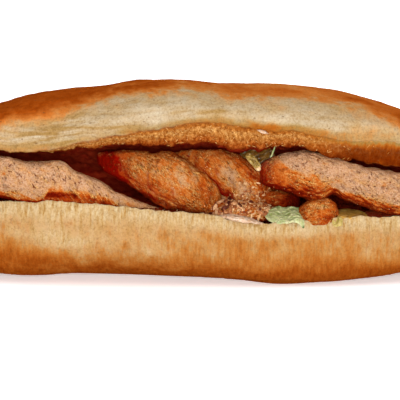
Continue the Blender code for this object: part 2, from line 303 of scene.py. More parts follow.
def mark_place(mesh, name, places):
    """Stores one place for each point, given in millimetres, for a finish to read its noise at."""
    store = mesh.attributes.new(name, "FLOAT_VECTOR", "POINT")
    store.data.foreach_set("vector", [value * MM for place in places for value in place])


def place_piece(name, mesh, finish, slot, *nodes):
    """Makes a piece of a finished mesh, which rides with the sandwich and stands for CAD nodes."""
    piece = bpy.data.objects.new(name, mesh)
    bpy.context.scene.collection.objects.link(piece)
    if finish:
        mesh.materials.clear()
        mesh.materials.append(finish)
    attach(piece, BODY)
    if nodes:
        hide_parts(*nodes)
    print(f"{name}: {sum(len(face.vertices) - 2 for face in mesh.polygons)} triangles")
    return piece


# %% [markdown]
# ## Tools for finishes
# A finish is a small graph of nodes. Writing each node with its inputs on one line keeps such a graph
# readable. Colours are given as the eight-bit values of a screen, so they are turned into the
# linear light that Blender works in.

# %% Nodes for finishes


def rgb(red, green, blue):
    """A screen colour as linear light, with full opacity."""
    def linear(value):
        share = value / 255
        return share / 12.92 if share <= 0.04045 else ((share + 0.055) / 1.055) ** 2.4
    return linear(red), linear(green), linear(blue), 1.0


def node(tree, kind, inputs=(), out=0, **settings):
    """Adds a node, fills its inputs with values or links, and returns one of its outputs."""
    made = tree.nodes.new(kind)
    for key, value in settings.items():
        setattr(made, key, value)
    for key, value in dict(inputs).items():
        if isinstance(value, bpy.types.NodeSocket):
            tree.links.new(value, made.inputs[key])
        else:
            made.inputs[key].default_value = value
    return made.outputs[out]


def new_finish(name, **steady):
    """A Principled material, its node tree and its shader, with the steady values set on the shader."""
    material = bpy.data.materials.new(name)
    material.use_nodes = True
    shader = material.node_tree.nodes["Principled BSDF"]
    for socket, value in steady.items():
        shader.inputs[socket.replace("_", " ")].default_value = value
    return material, material.node_tree, shader


def plug(tree, shader, **links):
    """Plugs values into the shader's sockets; Base_Color stands for the socket Base Color."""
    for socket, value in links.items():
        tree.links.new(value, shader.inputs[socket.replace("_", " ")])


def stored(tree, name):
    return node(tree, "ShaderNodeAttribute", out="Fac", attribute_name=name)


def place_in(tree, stretch=(1, 1, 1), attribute=None):
    """The place on the piece in millimetres, squeezed along each axis by stretch."""
    if attribute:
        place = node(tree, "ShaderNodeAttribute", out="Vector", attribute_name=attribute)
    else:
        place = node(tree, "ShaderNodeTexCoord", out="Object")
    scale = [1 / (MM * amount) for amount in stretch]
    return node(tree, "ShaderNodeMapping", {"Vector": place, "Scale": scale})


def clouds(tree, place, size, detail=3.0, rough=0.55):
    """Noise from about 0.2 to 0.8 with bumps of that size in millimetres."""
    return node(tree, "ShaderNodeTexNoise",
                {"Vector": place, "Scale": 1 / size, "Detail": detail, "Roughness": rough})


def cells(tree, place, size, feature="F1"):
    return node(tree, "ShaderNodeTexVoronoi", {"Vector": place, "Scale": 1 / size}, feature=feature)


def ridges(tree, place, size, width, detail=3.0):
    """1 on thin winding threads about size millimetres apart, 0 between them."""
    middle = maths(tree, "SUBTRACT", clouds(tree, place, size, detail, 0.6), 0.5)
    return levels(tree, maths(tree, "ABSOLUTE", middle), 0.0, width, 1.0, 0.0)


def levels(tree, value, low, high, to_low=0.0, to_high=1.0):
    """The value, stretched so that low and high become to_low and to_high."""
    return node(tree, "ShaderNodeMapRange", {"Value": value, "From Min": low, "From Max": high,
                                             "To Min": to_low, "To Max": to_high})


def swing(tree, value, amount, reach=0.2):
    """Cloudy noise turned into a number that strays from 0 by amount either way."""
    return levels(tree, value, 0.5 - reach, 0.5 + reach, -amount, amount)


def maths(tree, operation, one, two=0.0):
    return node(tree, "ShaderNodeMath", {0: one, 1: two}, operation=operation)


def blended(tree, share, one, two, way="MIX"):
    """Two colours mixed by a share: one at 0, two at 1."""
    return node(tree, "ShaderNodeMix", {0: share, 6: one, 7: two}, out=2, data_type="RGBA",
                blend_type=way, clamp_result=True)


def ramp(tree, value, stops):
    """A colour read from stops, each (place, red, green, blue)."""
    made = tree.nodes.new("ShaderNodeValToRGB")
    tree.links.new(value, made.inputs["Fac"])
    bar = made.color_ramp
    while len(bar.elements) < len(stops):
        bar.elements.new(0.5)
    for element, (place, *colour) in zip(bar.elements, stops):
        element.position = place
        element.color = rgb(*colour)
    return made.outputs["Color"]


def bumps(tree, shader, *layers):
    """Stacks (height, depth in millimetres) layers of fine relief and plugs them into the shader."""
    normal = None
    for height, depth in layers:
        inputs = {"Height": height, "Distance": depth * MM, "Strength": 1.0}
        if normal is not None:
            inputs["Normal"] = normal
        normal = node(tree, "ShaderNodeBump", inputs, out="Normal")
    plug(tree, shader, Normal=normal)


# %% [markdown]
# ## The roll
# The bread is a ball of dough drawn out long, proved, baked and slit. Its section changes along its
# length, so the skin is lofted: at each place along the roll one function works out the loop of
# points from the lower lip round the outside, over the crown, down to the crust's edge and in through
# the slit. It has the same named sizes as the model, with a ragged edge where the bread was torn.

# %% Sizes of the roll
HALF_LENGTH = 125.0
FRONT_REACH = 41.0
BACK_REACH = 40.6
CROWN_HEIGHT = 83.0
NOSE_HEIGHT = 27.0
SOLE_SINK = 0.5
TOP_POWER = {-1: 2.6, 1: 2.35}
SOLE_POWER = {-1: 4.0, 1: 3.2}
PLAN_POWER = 2.35

SWELL = ((-125, 0), (-62, 0), (-43, -0.4), (-25, 1.0), (-8, 1.0), (8, -0.4), (25, -0.5), (45, -0.3),
         (60, -0.4), (125, 0))
CRUST_EDGE = ((-125, 29), (-108, 44), (-86, 56.2), (-77, 56.0), (-63, 58.2), (-52, 60.8), (-41, 62.5),
              (-20, 66.0), (2, 69.4), (24, 66.4), (40, 66.0), (57, 61.8), (83, 60.0), (99, 50), (110, 40),
              (125, 29))
LIP = ((-125, 25), (-108, 36.5), (-83, 35.2), (-72, 35.2), (-60, 36.3), (-41, 35.3), (-4, 31.6),
       (29, 27.0), (66, 29.6), (83, 29.2), (99, 30.5), (110, 33), (125, 25))
TORN_BAND = ((-125, 0.5), (-78, 0.6), (-63, 1.6), (-52, 2.9), (-41, 4.2), (-28, 5.9), (-19, 7.4),
             (-8, 9.4), (4, 10.0), (13, 11.0), (24, 8.6), (40, 7.6), (57, 8.8), (83, 11.0), (110, 2),
             (125, 0.5))
SOLE_FRONT_Y = ((-125, -2), (-60, -2), (-20, -7), (16, -15), (33, -26), (48, -23), (68, -14), (125, -12))
BELLY_POWER = ((-125, 2.2), (-85, 2.3), (-60, 1.85), (-42, 1.75), (0, 1.9), (40, 2.6), (125, 2.2))

SLIT_ENDS = (-108.0, 110.0)
SLIT_RUN_OUT = 20.0
SLIT_DEPTH_Y = 27.0
CRUST_EDGE_Y = -38.5
LIP_Y = -38.0
TORN_BAND_DEPTH = 7.0
CROWN_Y = -7.0
SOLE_BACK_Y = 11.0
HINGE_CREASE = 4.0
ROOT_RISE = 2.0  # how far the slit's end lies above the lower lip
ROOF_Y, ROOF_SAG = -3.0, 1.0  # where the slit's roof sags, and how far
FLOOR_Y, FLOOR_SAG = 0.0, 5.5
LEAST_SLIT = 0.5
FLANK_TUCK = 0.6  # how far the flank draws back where the slit is open
SHUT_SINK = 0.12  # how deep the skin sinks between edge and lip where the slit is shut

# Heights as shares: of the whole roll's height, or of the part between two named heights.
MARGIN = 0.1  # the least that stays above the crust's edge and below the lip
BAND_SHARE = 0.6  # the most of the slit's height that the torn band takes
BELLY_SHARE = 0.55  # the belly, between underside and lip
FLANK_SHARE = 0.25  # the widest place of the upper half, between its edge and its top
BACK_LOW, HINGE, BACK_HIGH = 0.27, 0.42, 0.57

# How full the quarter curves of the section are, as powers of a superellipse.
SOFT, FULL, FULLER = 1.6, 2.2, 2.3

WARP = 1.3
WARP_SIZE = 32.0
RESTING = 0.3  # whatever is lower than this lies flat on the table
WARP_DRIFTS = (Vector((0, 0, 0)), Vector((31.4, 17.2, 5.9)), Vector((-12.8, 44.1, 23.3)))

# The stretches of one section, in order, with their number of points.
STRETCHES = {"belly": 14, "underbelly": 40, "sole": 6, "back_low": 16, "hinge_low": 8, "hinge_high": 8,
             "back_high": 24, "crown": 60, "flank": 20, "band": 20, "roof": 24, "floor": 24}
ZONES = [(zone, i / count) for zone, count in STRETCHES.items() for i in range(count)]
RINGS = 376
END_CROWDING = 0.4  # how far the rings crowd together towards the noses, from 0 to 1
print("points round the roll:", len(ZONES))

# %% [markdown]
# ## One section of the roll
# Cut the roll across and its edge is a loop of plain curves. The rounded outside is a row of quarter
# superellipses, whose power says how full each one is, and the slit's roof and floor sag between their
# ends. Drawing the loop by hand at twenty places would leave steps between them. Here a few heights,
# read from curves along the roll, place the corners of every loop, so the skin runs on smoothly.

# %% Curves of the section


def straight(start, end, count):
    return [start.lerp(end, i / count) for i in range(count)]


def bent(start, pull, end, count):
    """Points of a quadratic curve that leaves start towards pull and stops short of end."""
    points = []
    for i in range(count):
        t = i / count
        points.append(start * (1 - t) ** 2 + pull * (2 * t * (1 - t)) + end * t**2)
    return points


def quarter(start, end, power, count, upright):
    """Points of a quarter superellipse that leaves start upright or level and stops short of end."""
    points = []
    for i in range(count):
        angle = i / count * math.pi / 2
        near = math.cos(angle) ** (2 / power)
        far = math.sin(angle) ** (2 / power)
        if upright:
            points.append(Vector((end.x + (start.x - end.x) * near, start.y + (end.y - start.y) * far)))
        else:
            points.append(Vector((start.x + (end.x - start.x) * far, end.y + (start.y - end.y) * near)))
    return points


# %% Heights of the section
RAGS = ((0.55, 5.0), (0.35, 1.9), (0.2, 0.8))  # (how far a torn edge strays, over what length)
EDGE_DRIFT, LIP_DRIFT = 1.7, 5.2  # where in the noise each of the two edges begins
FRAY = ((0.22, 4.0, 9.1),)  # how unevenly tall the torn band is, as a layer of noise


def slit_openness(x):
    """0 where the roll is whole, 1 where the slit has its full depth."""
    left, right = SLIT_ENDS
    return rise(x, left, SLIT_RUN_OUT) * rise(-x, -right, SLIT_RUN_OUT)


def raggedness(x, drift):
    """How far a torn edge strays from its line at x, in millimetres."""
    return layered(Vector((x, 0, 0)), [(amount, size, drift) for amount, size in RAGS])


def roll_heights(x):
    """Heights of the underside, the lip, the crust's edge and the top at x, and how tall the band is."""
    side = -1 if x < 0 else 1
    share = x / HALF_LENGTH
    openness = slit_openness(x)
    top = NOSE_HEIGHT + (CROWN_HEIGHT - NOSE_HEIGHT) * fullness(share, TOP_POWER[side])
    top += along(SWELL, x)
    sole = max(0.0, NOSE_HEIGHT * (1 - fullness(share, SOLE_POWER[side])) - SOLE_SINK)
    least = MARGIN * (top - sole)
    edge = min(along(CRUST_EDGE, x) + raggedness(x, EDGE_DRIFT) * openness, top - least)
    lip = along(LIP, x) + raggedness(x, LIP_DRIFT) * openness
    lip = max(min(lip, edge - LEAST_SLIT), sole + least)
    frayed = 1 + layered(Vector((x, 0, 0)), FRAY)
    band = min(along(TORN_BAND, x) * frayed, BAND_SHARE * (edge - lip))
    return sole, lip, edge, top, band


print("heights in the middle, mm:", [round(height, 1) for height in roll_heights(0.0)])

# %% The section of the roll


def roll_section(x):
    """The (y, z) loop of the roll at x, in the order of STRETCHES."""
    sole, lip, edge, top, band = roll_heights(x)
    tall = top - sole
    openness = slit_openness(x)
    spread = fullness(x / HALF_LENGTH, PLAN_POWER)
    front, back = -FRONT_REACH * spread, BACK_REACH * spread

    def at(y, z):
        return Vector((y * spread, z))

    lip_point = Vector((front, lip)).lerp(at(LIP_Y, lip), openness)
    edge_point = Vector((front, edge)).lerp(at(CRUST_EDGE_Y, edge), openness)
    belly = Vector((front, sole + BELLY_SHARE * (lip - sole)))
    sole_front, sole_back = at(along(SOLE_FRONT_Y, x), sole), at(SOLE_BACK_Y, sole)
    back_low = Vector((back, sole + BACK_LOW * tall))
    crease = Vector((back - HINGE_CREASE * openness * spread, sole + HINGE * tall))
    back_high = Vector((back, sole + BACK_HIGH * tall))
    crown = at(CROWN_Y, top)
    flank = Vector((front + FLANK_TUCK * openness, edge + FLANK_SHARE * (top - edge)))
    band_point = at(CRUST_EDGE_Y + TORN_BAND_DEPTH, edge - band)
    root = at(SLIT_DEPTH_Y, lip + ROOT_RISE)

    count = STRETCHES
    outside = (quarter(lip_point, belly, SOFT, count["belly"], False)
               + quarter(belly, sole_front, along(BELLY_POWER, x), count["underbelly"], True)
               + straight(sole_front, sole_back, count["sole"])
               + quarter(sole_back, back_low, FULLER, count["back_low"], False)
               + quarter(back_low, crease, SOFT, count["hinge_low"], True)
               + quarter(crease, back_high, SOFT, count["hinge_high"], False)
               + quarter(back_high, crown, FULL, count["back_high"], True)
               + quarter(crown, flank, FULL, count["crown"], False)
               + quarter(flank, edge_point, SOFT, count["flank"], True))
    inside = (straight(edge_point, band_point, count["band"])
              + bent(band_point, at(ROOF_Y, edge - band - ROOF_SAG), root, count["roof"])
              + bent(root, at(FLOOR_Y, lip - FLOOR_SAG), lip_point, count["floor"]))
    shut = len(inside)
    for i, point in enumerate(inside):
        t = i / shut
        skin = edge_point.lerp(lip_point, t)
        skin.x -= SHUT_SINK * (edge - lip) * math.sin(math.pi * t)
        inside[i] = skin.lerp(point, openness)
    return outside + inside


# %% The skin of the roll


def warped(point):
    """A point of the roll, moved by the slow unevenness of real baking."""
    fade = fullness(point.x / HALF_LENGTH, PLAN_POWER)
    shift = Vector([noise.noise(point / WARP_SIZE + drift) for drift in WARP_DRIFTS])
    moved = point + shift * (WARP * fade)
    moved.z = max(0.0, moved.z) if point.z > RESTING else 0.0
    return moved


def ring_place(ring):
    """Where along the roll a ring stands: evenly in the middle, closer together at the noses."""
    share = 2 * ring / (RINGS + 1) - 1
    return HALF_LENGTH * ((1 - END_CROWDING) * share + END_CROWDING * math.sin(share * math.pi / 2))


def roll_skin():
    rings = []
    for ring in range(1, RINGS + 1):
        x = ring_place(ring)
        rings.append([warped(Vector((x, y, z))) for y, z in roll_section(x)])
    ends = [Vector((side * HALF_LENGTH, 0.0, NOSE_HEIGHT)) for side in (-1, 1)]
    return lofted("roll", rings, *ends)


def roll_zone(index):
    """The stretch of the section that a point of the skin belongs to, and its share of it."""
    if index == 0 or index > RINGS * len(ZONES):
        return "belly", 0.5
    return ZONES[(index - 1) % len(ZONES)]


roll_mesh = roll_skin()
print("roll skin:", len(roll_mesh.vertices), "points")

# %% [markdown]
# ## Relief of the bread
# The flank of the upper half is wrinkled in long soft ripples, because the dough was stretched there
# while the crown had already set. The lower half shows short upright stretch marks. The torn band is
# a mat of pulled crumb, and the inside of the slit is open crumb with holes. Each is noise of its own
# size, squeezed along one axis and pushed out along the skin's normals.

# %% Relief of the roll
UPPER = {"crown", "flank", "back_high"}
LOWER = {"belly", "underbelly", "back_low"}
INSIDE = {"roof", "floor"}
END_POWER = 6  # how late the relief fades out towards the noses

# Layers of noise, each (height, size along x, y and z, drift).
RIPPLES = ((0.34, (17, 8, 2.7), 2.3), (0.24, (8, 4, 1.5), 4.1))
CRUST_SWELLS = ((0.55, (15, 12, 8), 7.7), (0.10, 1.5, 1.1))
STRETCH_MARKS = ((0.22, (1.9, 4, 8), 6.6), (0.14, (1.1, 3, 4), 8.4))
LIP_FOLDS = ((0.45, (2.6, 5, 9), 4.7),)
LOWER_SWELLS = ((0.5, (14, 12, 11), 3.9), (0.06, 1.3, 0.4))
TUFTS = ((0.30, (1.7, 2, 4.0), 2.9), (0.16, (0.9, 1, 1.8), 6.3))
CRUMB_SWELLS = ((0.5, 6, 5.1),)
CRUMB_HOLES = ((3.2, 3.3, 0.12, 3.0), (1.5, 8.8, 0.2, 1.6))  # (size, drift, noise that starts one, depth)

RIPPLING = ((-125, 1.4), (-50, 1.2), (-20, 0.7), (125, 0.6))  # the flank is wrinkled most at the left
WRINKLE_FOLLOW = 0.6  # how closely the wrinkles run along the crust's edge
MARK_DEPTH = 1.1  # how strongly the stretch marks stand out
FOLD_REACH = 14.0  # the folds of the lip run out this far below it
TUFT_RISE, TUFT_CUT, TUFT_SIZE, TUFT_DRIFT = 0.2, 0.5, (4.2, 4, 5.5), 5.5  # cuts part the tufts
SOLE_FADE = 3.0  # the relief grows from nothing up to this height, because the tray smoothed the sole
BAND_FADE = 6  # the tufts reach their full height after one sixth of the band


def flow(p):
    """The place with its height counted from the crust's edge, because the wrinkles run along that."""
    return Vector((p.x, p.y, p.z - WRINKLE_FOLLOW * along(CRUST_EDGE, p.x)))


def ripples(p):
    """Long wrinkles of the stretched flank, from about -0.5 to 0.5."""
    return layered(flow(p), RIPPLES)


def crust_relief(p):
    return layered(p, CRUST_SWELLS) + along(RIPPLING, p.x) * ripples(p)


def stretch_marks(p):
    """Short upright marks of the lower half, from about -0.4 to 0.4."""
    return layered(p, STRETCH_MARKS)


def lower_relief(p):
    folds = layered(p, LIP_FOLDS) * ease(1 - (along(LIP, p.x) - p.z) / FOLD_REACH)
    return layered(p, LOWER_SWELLS) + MARK_DEPTH * stretch_marks(p) + folds


def torn_relief(p):
    return TUFT_RISE - TUFT_CUT * abs(lumps(p, TUFT_SIZE, TUFT_DRIFT)) + layered(p, TUFTS)


def crumb_relief(p):
    holes = sum(max(0.0, lumps(p, size, drift) - start) * depth
                for size, drift, start, depth in CRUMB_HOLES)
    return layered(p, CRUMB_SWELLS) - holes


def roll_relief(index, p, _normal):
    zone, share = roll_zone(index)
    open_here = slit_openness(p.x)
    ends = fullness(p.x / HALF_LENGTH, END_POWER)
    if zone in UPPER:
        return crust_relief(p) * ends
    if zone in LOWER:
        return lower_relief(p) * ends * ease(p.z / SOLE_FADE)
    if zone == "band":
        return torn_relief(p) * open_here * ease(share * BAND_FADE)
    if zone in INSIDE:
        return crumb_relief(p) * open_here
    return 0.0


raise_relief(roll_mesh, roll_relief)
print("ripples at the left and in the middle, mm:",
      [round(along(RIPPLING, x) * ripples(Vector((x, -30, 65))), 2) for x in (-60, 0)])

# %% [markdown]
# ## How the oven coloured it
# The crown browned first, down to a ragged line on the flank. Below that line the dough stayed pale,
# with a few tan clouds and painted shade in the hollows between its ripples. The lower half is golden and
# turns brown where it sat on the tray. One number per point says how brown the crust is there, and it is
# worked out from that line and some noise.

# %% Lines of the browning
BROWN_LINE = ((-125, 20), (-110, 46), (-95, 60), (-82, 66.4), (-62, 68.2), (-51, 72.8), (-37, 77.5),
              (-25, 78.8), (-14, 79.8), (-4, 79.8), (10, 78.8), (21, 76.4), (33, 76.4), (49, 75.8),
              (62, 73.8), (72, 71.5), (82, 66.0), (100, 50), (112, 38), (125, 20))
TRAY_LINE = ((-125, 30), (-100, 20), (-83, 18.7), (-66, 18.0), (-56, 16.4), (-48, 13.4), (-21, 11.9),
             (4, 11.5), (42, 10.2), (62, 11.5), (83, 13.2), (100, 20), (125, 30))
LOWER_TAN = ((-125, 0.5), (-95, 0.3), (-72, 0.22), (-58, 0.14), (-40, 0.24), (-14, 0.33), (4, 0.36),
             (30, 0.42), (62, 0.38), (83, 0.30), (105, 0.4), (125, 0.5))
EDGE_GOLD = ((-125, 0.16), (-70, 0.18), (-30, 0.16), (-12, 0.22), (0, 0.26), (20, 0.34), (40, 0.32),
             (58, 0.22), (75, 0.16), (125, 0.16))
GOLD_REACH = ((-125, 4), (0, 3.2), (20, 4.6), (45, 3.6), (60, 4.4), (75, 5.4), (125, 7))
TORN_SHOWN = ((-125, 0.1), (-66, 0.6), (-50, 1.0), (36, 1.0), (52, 0.45), (64, 0.15), (125, 0.1))
CROWN_BROWN = ((-125, 0.50), (-83, 0.74), (-62, 0.66), (-42, 0.72), (-20, 0.46), (10, 0.26), (40, 0.20),
               (85, 0.22), (125, 0.30))
CROWN_SOFT = ((-125, 8), (-30, 7), (5, 8), (40, 9), (125, 10))  # height over which the pale crust turns
CROWN_RUN = ((-125, 9), (-60, 9), (-30, 6), (0, 4.5), (125, 4.5))  # height over which it gets darker
STREAKY = ((-125, 0.9), (-58, 0.8), (-30, 0.35), (125, 0.3))  # how far streaks, not patches, mottle it
TAN_CLOUDS = (  # (x, z, half width, half height, how much darker) on the upper flank
    (-61, 72, 14, 3.0, 0.16), (-60, 67, 15, 1.6, 0.26), (-66, 64, 12, 1.2, 0.20),
    (-66, 60.0, 13, 1.8, 0.22), (-31, 66.8, 9, 1.8, 0.26), (-35, 74, 10, 2.0, 0.12),
    (-14, 77, 14, 1.2, 0.12), (22, 76, 16, 2.2, 0.10), (8, 72, 6, 2.5, 0.10), (48, 72, 10, 3.0, 0.08),
    (63, 69, 9, 6.0, 0.08), (-2, 73.5, 10, 1.4, 0.14))

# %% Rates of the browning
DARKEST = 0.84  # the most that any crust browns
BACK_DROP = 34.0  # the brown comes down further on the side away from the slit
BACK_FADE = 0.25  # and it is lighter there
PALE_TURN, TURN_START = 0.34, 0.58  # how far the pale crust turns before the line, and how early
# Painted shade: besides its tan clouds, the flank is darkened in the hollows between its ripples.
CLOUD_TAN, HOLLOW_TAN, HOLLOW_GAIN = 0.08, 0.06, 2.5  # in clouds, and in the hollows between ripples
TRAY_RIM, TRAY_BROWN, TRAY_RUN = 0.22, 0.42, 9.0  # round the tray's line, below it, over how far each
MARK_TAN = 0.16  # how much paler the stretch marks are
FRAYED_FOOT = 0.7  # how torn the foot of the flank is at most
GOLD_TOP, GOLD_STRENGTH = 1.15, 3.0  # where the gold has faded, in reaches, and how fatty it is
ROLLED_BROWN, ROLLED_MORE = 0.42, 0.28  # of the torn band, and more where the crust rolls under it

BAKED = {  # (how much browner, past which millimetre, over how many)
    "nose": (0.30, 84, 34), "right": (0.13, 46, 25), "left": (0.12, 66, 20), "behind": (0.34, 8, 20),
    "lower nose": (0.34, 86, 28),
}
UNEVEN = {  # layers of noise, each (amount, size, drift)
    "brown line": ((1.8, 9, 1.3), (1.3, (2.6, 3, 3.4), 2.2), (0.6, 1.2, 4.4)),
    "tray line": ((2.0, (6, 9, 6), 3.7), (1.2, (2, 4, 4), 5.9)),
    "gold line": ((1.2, (5, 4, 3), 9.7),),
    "fray line": ((0.5, (2.4, 2, 1.6), 3.1),),
    "clouds": ((2.2, (15, 9, 5), 6.1),),
    "olive": ((1.2, (9, 5, 1.6), 8.1),),
    "back": ((0.12, (16, 12, 9), 5.7),),
    "lower": ((0.13, (11, 9, 7), 8.3), (0.08, (4, 5, 5), 1.9)),
}


def baked(name, place):
    """How much browner a stretch of BAKED is at a place."""
    more, start, reach = BAKED[name]
    return more * rise(place, start, reach)


def uneven(name, p):
    return layered(p, UNEVEN[name])


# %% Browning of the roll


def edge_gold(p):
    """The warm line that the filling and its fat drew along the edge of the slit."""
    if p.y > -15:
        return 0.0
    above = p.z - along(CRUST_EDGE, p.x) + uneven("gold line", p)
    return along(EDGE_GOLD, p.x) * ease(GOLD_TOP - above / along(GOLD_REACH, p.x)) * slit_openness(p.x)


def upper_browning(p):
    """How brown the upper half is: its crown past the brown line, and the pale flank below that."""
    line = along(BROWN_LINE, p.x) - BACK_DROP * rise(p.y, -8, 32)
    over = p.z - line + uneven("brown line", p)
    crown = PALE_TURN * ease(over / along(CROWN_SOFT, p.x) + TURN_START)
    crown += along(CROWN_BROWN, p.x) * ease(over / along(CROWN_RUN, p.x))
    crown *= 1 - BACK_FADE * rise(p.y, 8, 25)
    # tan clouds, and painted shade in the hollows between the ripples
    tan = CLOUD_TAN * ease(uneven("clouds", p)) + HOLLOW_TAN * ease(-HOLLOW_GAIN * ripples(p))
    ends = baked("nose", abs(p.x)) + baked("right", p.x) + baked("left", -p.x)
    behind = baked("behind", p.y) + uneven("back", p)
    return min(DARKEST, tan + ends + behind + edge_gold(p) + crown)


def lower_browning(p):
    """How brown the lower half is: golden below the lip, and brown where it sat on the tray."""
    under = along(TRAY_LINE, p.x) - p.z + uneven("tray line", p)
    tray = TRAY_RIM * rise(under, -5, TRAY_RUN) + TRAY_BROWN * rise(under, 0, TRAY_RUN)
    tan = along(LOWER_TAN, p.x) + uneven("lower", p) - MARK_TAN * stretch_marks(p)
    tan *= rise(along(LIP, p.x) - p.z, 1, 8)
    return min(DARKEST, tan + baked("behind", p.y) + baked("lower nose", abs(p.x)) + tray)


def olive_tan(p):
    """The dull tan streaks on the pale flank, where the stretched dough is thin."""
    return 0.0 if p.y > 0 else (1 + uneven("olive", flow(p))) * spots_at(p, TAN_CLOUDS)


print("crown and tray, how brown:", round(upper_browning(Vector((-40, -10, 82))), 2),
      round(lower_browning(Vector((-40, -20, 3))), 2))

# %% [markdown]
# ## What the finish has to know
# A finish can't ask where the slit begins or how far up the torn band a place lies. Painting that by
# hand on a picture is one way, but a picture stretches over the ends. So each point of the skin gets its
# answers as stored numbers, from 0 to about 1, and the finish reads them by name.

# %% Marks for the finish


def lowness(zone, share, open_here):
    """1 on the lower half of the roll, 0 on the upper, and in between where the two run together."""
    if zone in LOWER or zone == "sole":
        return 1.0
    fades = {"hinge_low": 1 - share / 2, "hinge_high": (1 - share) / 2, "roof": (1 - open_here) * share / 2,
             "floor": open_here + (1 - open_here) * (1 + share) / 2}
    return fades.get(zone, 0.0)


def tornness(zone, share, p):
    """How far the crust gives way to torn crumb: in the slit, on the band and at the flank's foot."""
    if zone in INSIDE:
        return 1.0
    foot = FRAYED_FOOT * ease((share - 0.60) / 0.40 + uneven("fray line", p))
    return along(TORN_SHOWN, p.x) * {"band": 0.7 + 0.3 * ease(share * 5), "flank": foot}.get(zone, 0.0)


def roll_marks(zone, share, p):
    """How brown, torn, far down, deep inside, drawn upright, low, streaky, olive and fatty a place is."""
    open_here = slit_openness(p.x)
    low = lowness(zone, share, open_here)
    in_band = float(zone == "band")
    depth = {"roof": share, "floor": 0.9 - share}.get(zone, 0.0)
    right = rise(p.x, 45, 15)  # there the crust itself rolls under, and hardly any crumb shows
    rolled = in_band * (ROLLED_BROWN + ROLLED_MORE * right) * ease(share * (1 + 1.4 * right))
    gold = GOLD_STRENGTH * edge_gold(p)
    lower = lower_browning(p) * low if low > 0 else 0.0
    return {
        "brown": lower + (upper_browning(p) + rolled) * (1 - low),
        "torn": open_here * tornness(zone, share, p),
        "down": share if in_band else float(zone in INSIDE),
        # painted shade: how deep inside the slit a place is, which darkens its crumb
        "inner": open_here * ease(depth * 10),
        "drawn": low + (1 - low) * right * (1.3 if in_band else gold),
        "lower": low,
        "streaky": along(STREAKY, p.x) * ease((5 - p.y) / 20),
        "olive": olive_tan(p) * (1 - low),
        "fat": (gold + 0.5 * right * in_band) * (1 - low),
    }


def mark_roll(mesh):
    """Stores all that the finish needs to know, for each point of the roll."""
    places = [vertex.co / MM for vertex in mesh.vertices]
    rows = [roll_marks(*roll_zone(index), p) for index, p in enumerate(places)]
    for name in rows[0]:
        mark(mesh, name, [row[name] for row in rows])
    mark_place(mesh, "flow", [flow(p) for p in places])
    for name in rows[0]:
        print(f"{name}: from {min(row[name] for row in rows):.2f} to {max(row[name] for row in rows):.2f}")


mark_roll(roll_mesh)

# %% [markdown]
# ## The finish of the bread
# Crust isn't painted on as a picture: its colour follows from how far it baked, plus painted shade in the
# hollows of the flank's ripples. So the stored number picks a colour from a ramp that runs from pale through
# orange to dark brown, one ramp for each half. Fine noise is added to the number first, which breaks up
# every border. Torn crumb has a ramp of its own, with threads and knots, and the stored marks say where one
# gives way to the other. Deep in the slit the crumb turns dark maroon, partly a stain of the meat and partly
# painted shade.

# %% The finish of the bread
PALE_FLANK = ((0.30, 148, 116, 68), (0.42, 166, 142, 106), (0.54, 176, 158, 130), (0.68, 190, 176, 152))
PALE_LIP = ((0.32, 158, 120, 66), (0.46, 178, 148, 102), (0.62, 192, 172, 136))
UPPER_CRUST = ((0.00, 178, 152, 114), (0.18, 178, 142, 94), (0.34, 184, 130, 74), (0.50, 186, 110, 48),
               (0.66, 172, 88, 28), (0.84, 150, 66, 12), (1.00, 122, 44, 2))
LOWER_CRUST = ((0.00, 172, 144, 102), (0.16, 170, 130, 82), (0.34, 166, 114, 58), (0.55, 158, 94, 36),
               (0.78, 142, 72, 18), (1.00, 120, 50, 6))
TORN_CRUMB = ((0.34, 104, 54, 18), (0.44, 144, 92, 42), (0.56, 176, 130, 74), (0.68, 220, 186, 130))
TORN_SHADE = ((0.0, 204, 144, 82), (0.10, 228, 180, 118), (0.28, 255, 240, 216), (0.50, 242, 210, 170),
              (0.76, 218, 156, 104), (1.0, 150, 66, 38))
# Painted shade: deep in the slit the crumb turns dark maroon, partly a stain of the meat and partly the
# shade of the slit.
STAINED_CRUMB = ((0.3, 132, 22, 10), (0.7, 170, 56, 28))
GRAIN = ((0.32, 210, 192, 170), (0.56, 255, 255, 255))
PORE = rgb(104, 70, 40)
FAT = rgb(214, 206, 160)  # how the soaked-in fat tones the crust
THREAD = rgb(212, 180, 126)
print("steps of brown in the crust:", len(UPPER_CRUST), "above and", len(LOWER_CRUST), "below")

# %% The bread's nodes


def browned(tree, fine, mottle, marks):
    """The stored browning with a ragged border, drawn out upright where the dough was."""
    wobble = maths(tree, "ADD", swing(tree, mottle, 0.09, 0.25), swing(tree, fine, 0.06, 0.25))
    upright = maths(tree, "MULTIPLY", stored(tree, "drawn"), swing(tree, marks, 0.11))
    return maths(tree, "ADD", stored(tree, "brown"), maths(tree, "ADD", wobble, upright))


def pale_tone(tree):
    """How pale the unbrowned flank is: long streaks at the left, soft patches elsewhere, less the olive."""
    streaks = clouds(tree, place_in(tree, (8, 4, 1), "flow"), 1.9, 5.0, 0.6)
    streaks = levels(tree, streaks, 0.35, 0.65, 0.28, 0.70)
    soft = levels(tree, clouds(tree, place_in(tree, (1.6, 1, 1)), 5.5, 6.0, 0.6), 0.3, 0.7, 0.40, 0.66)
    paleness = node(tree, "ShaderNodeMix", {0: stored(tree, "streaky"), 2: soft, 3: streaks})
    return maths(tree, "SUBTRACT", paleness, stored(tree, "olive"))


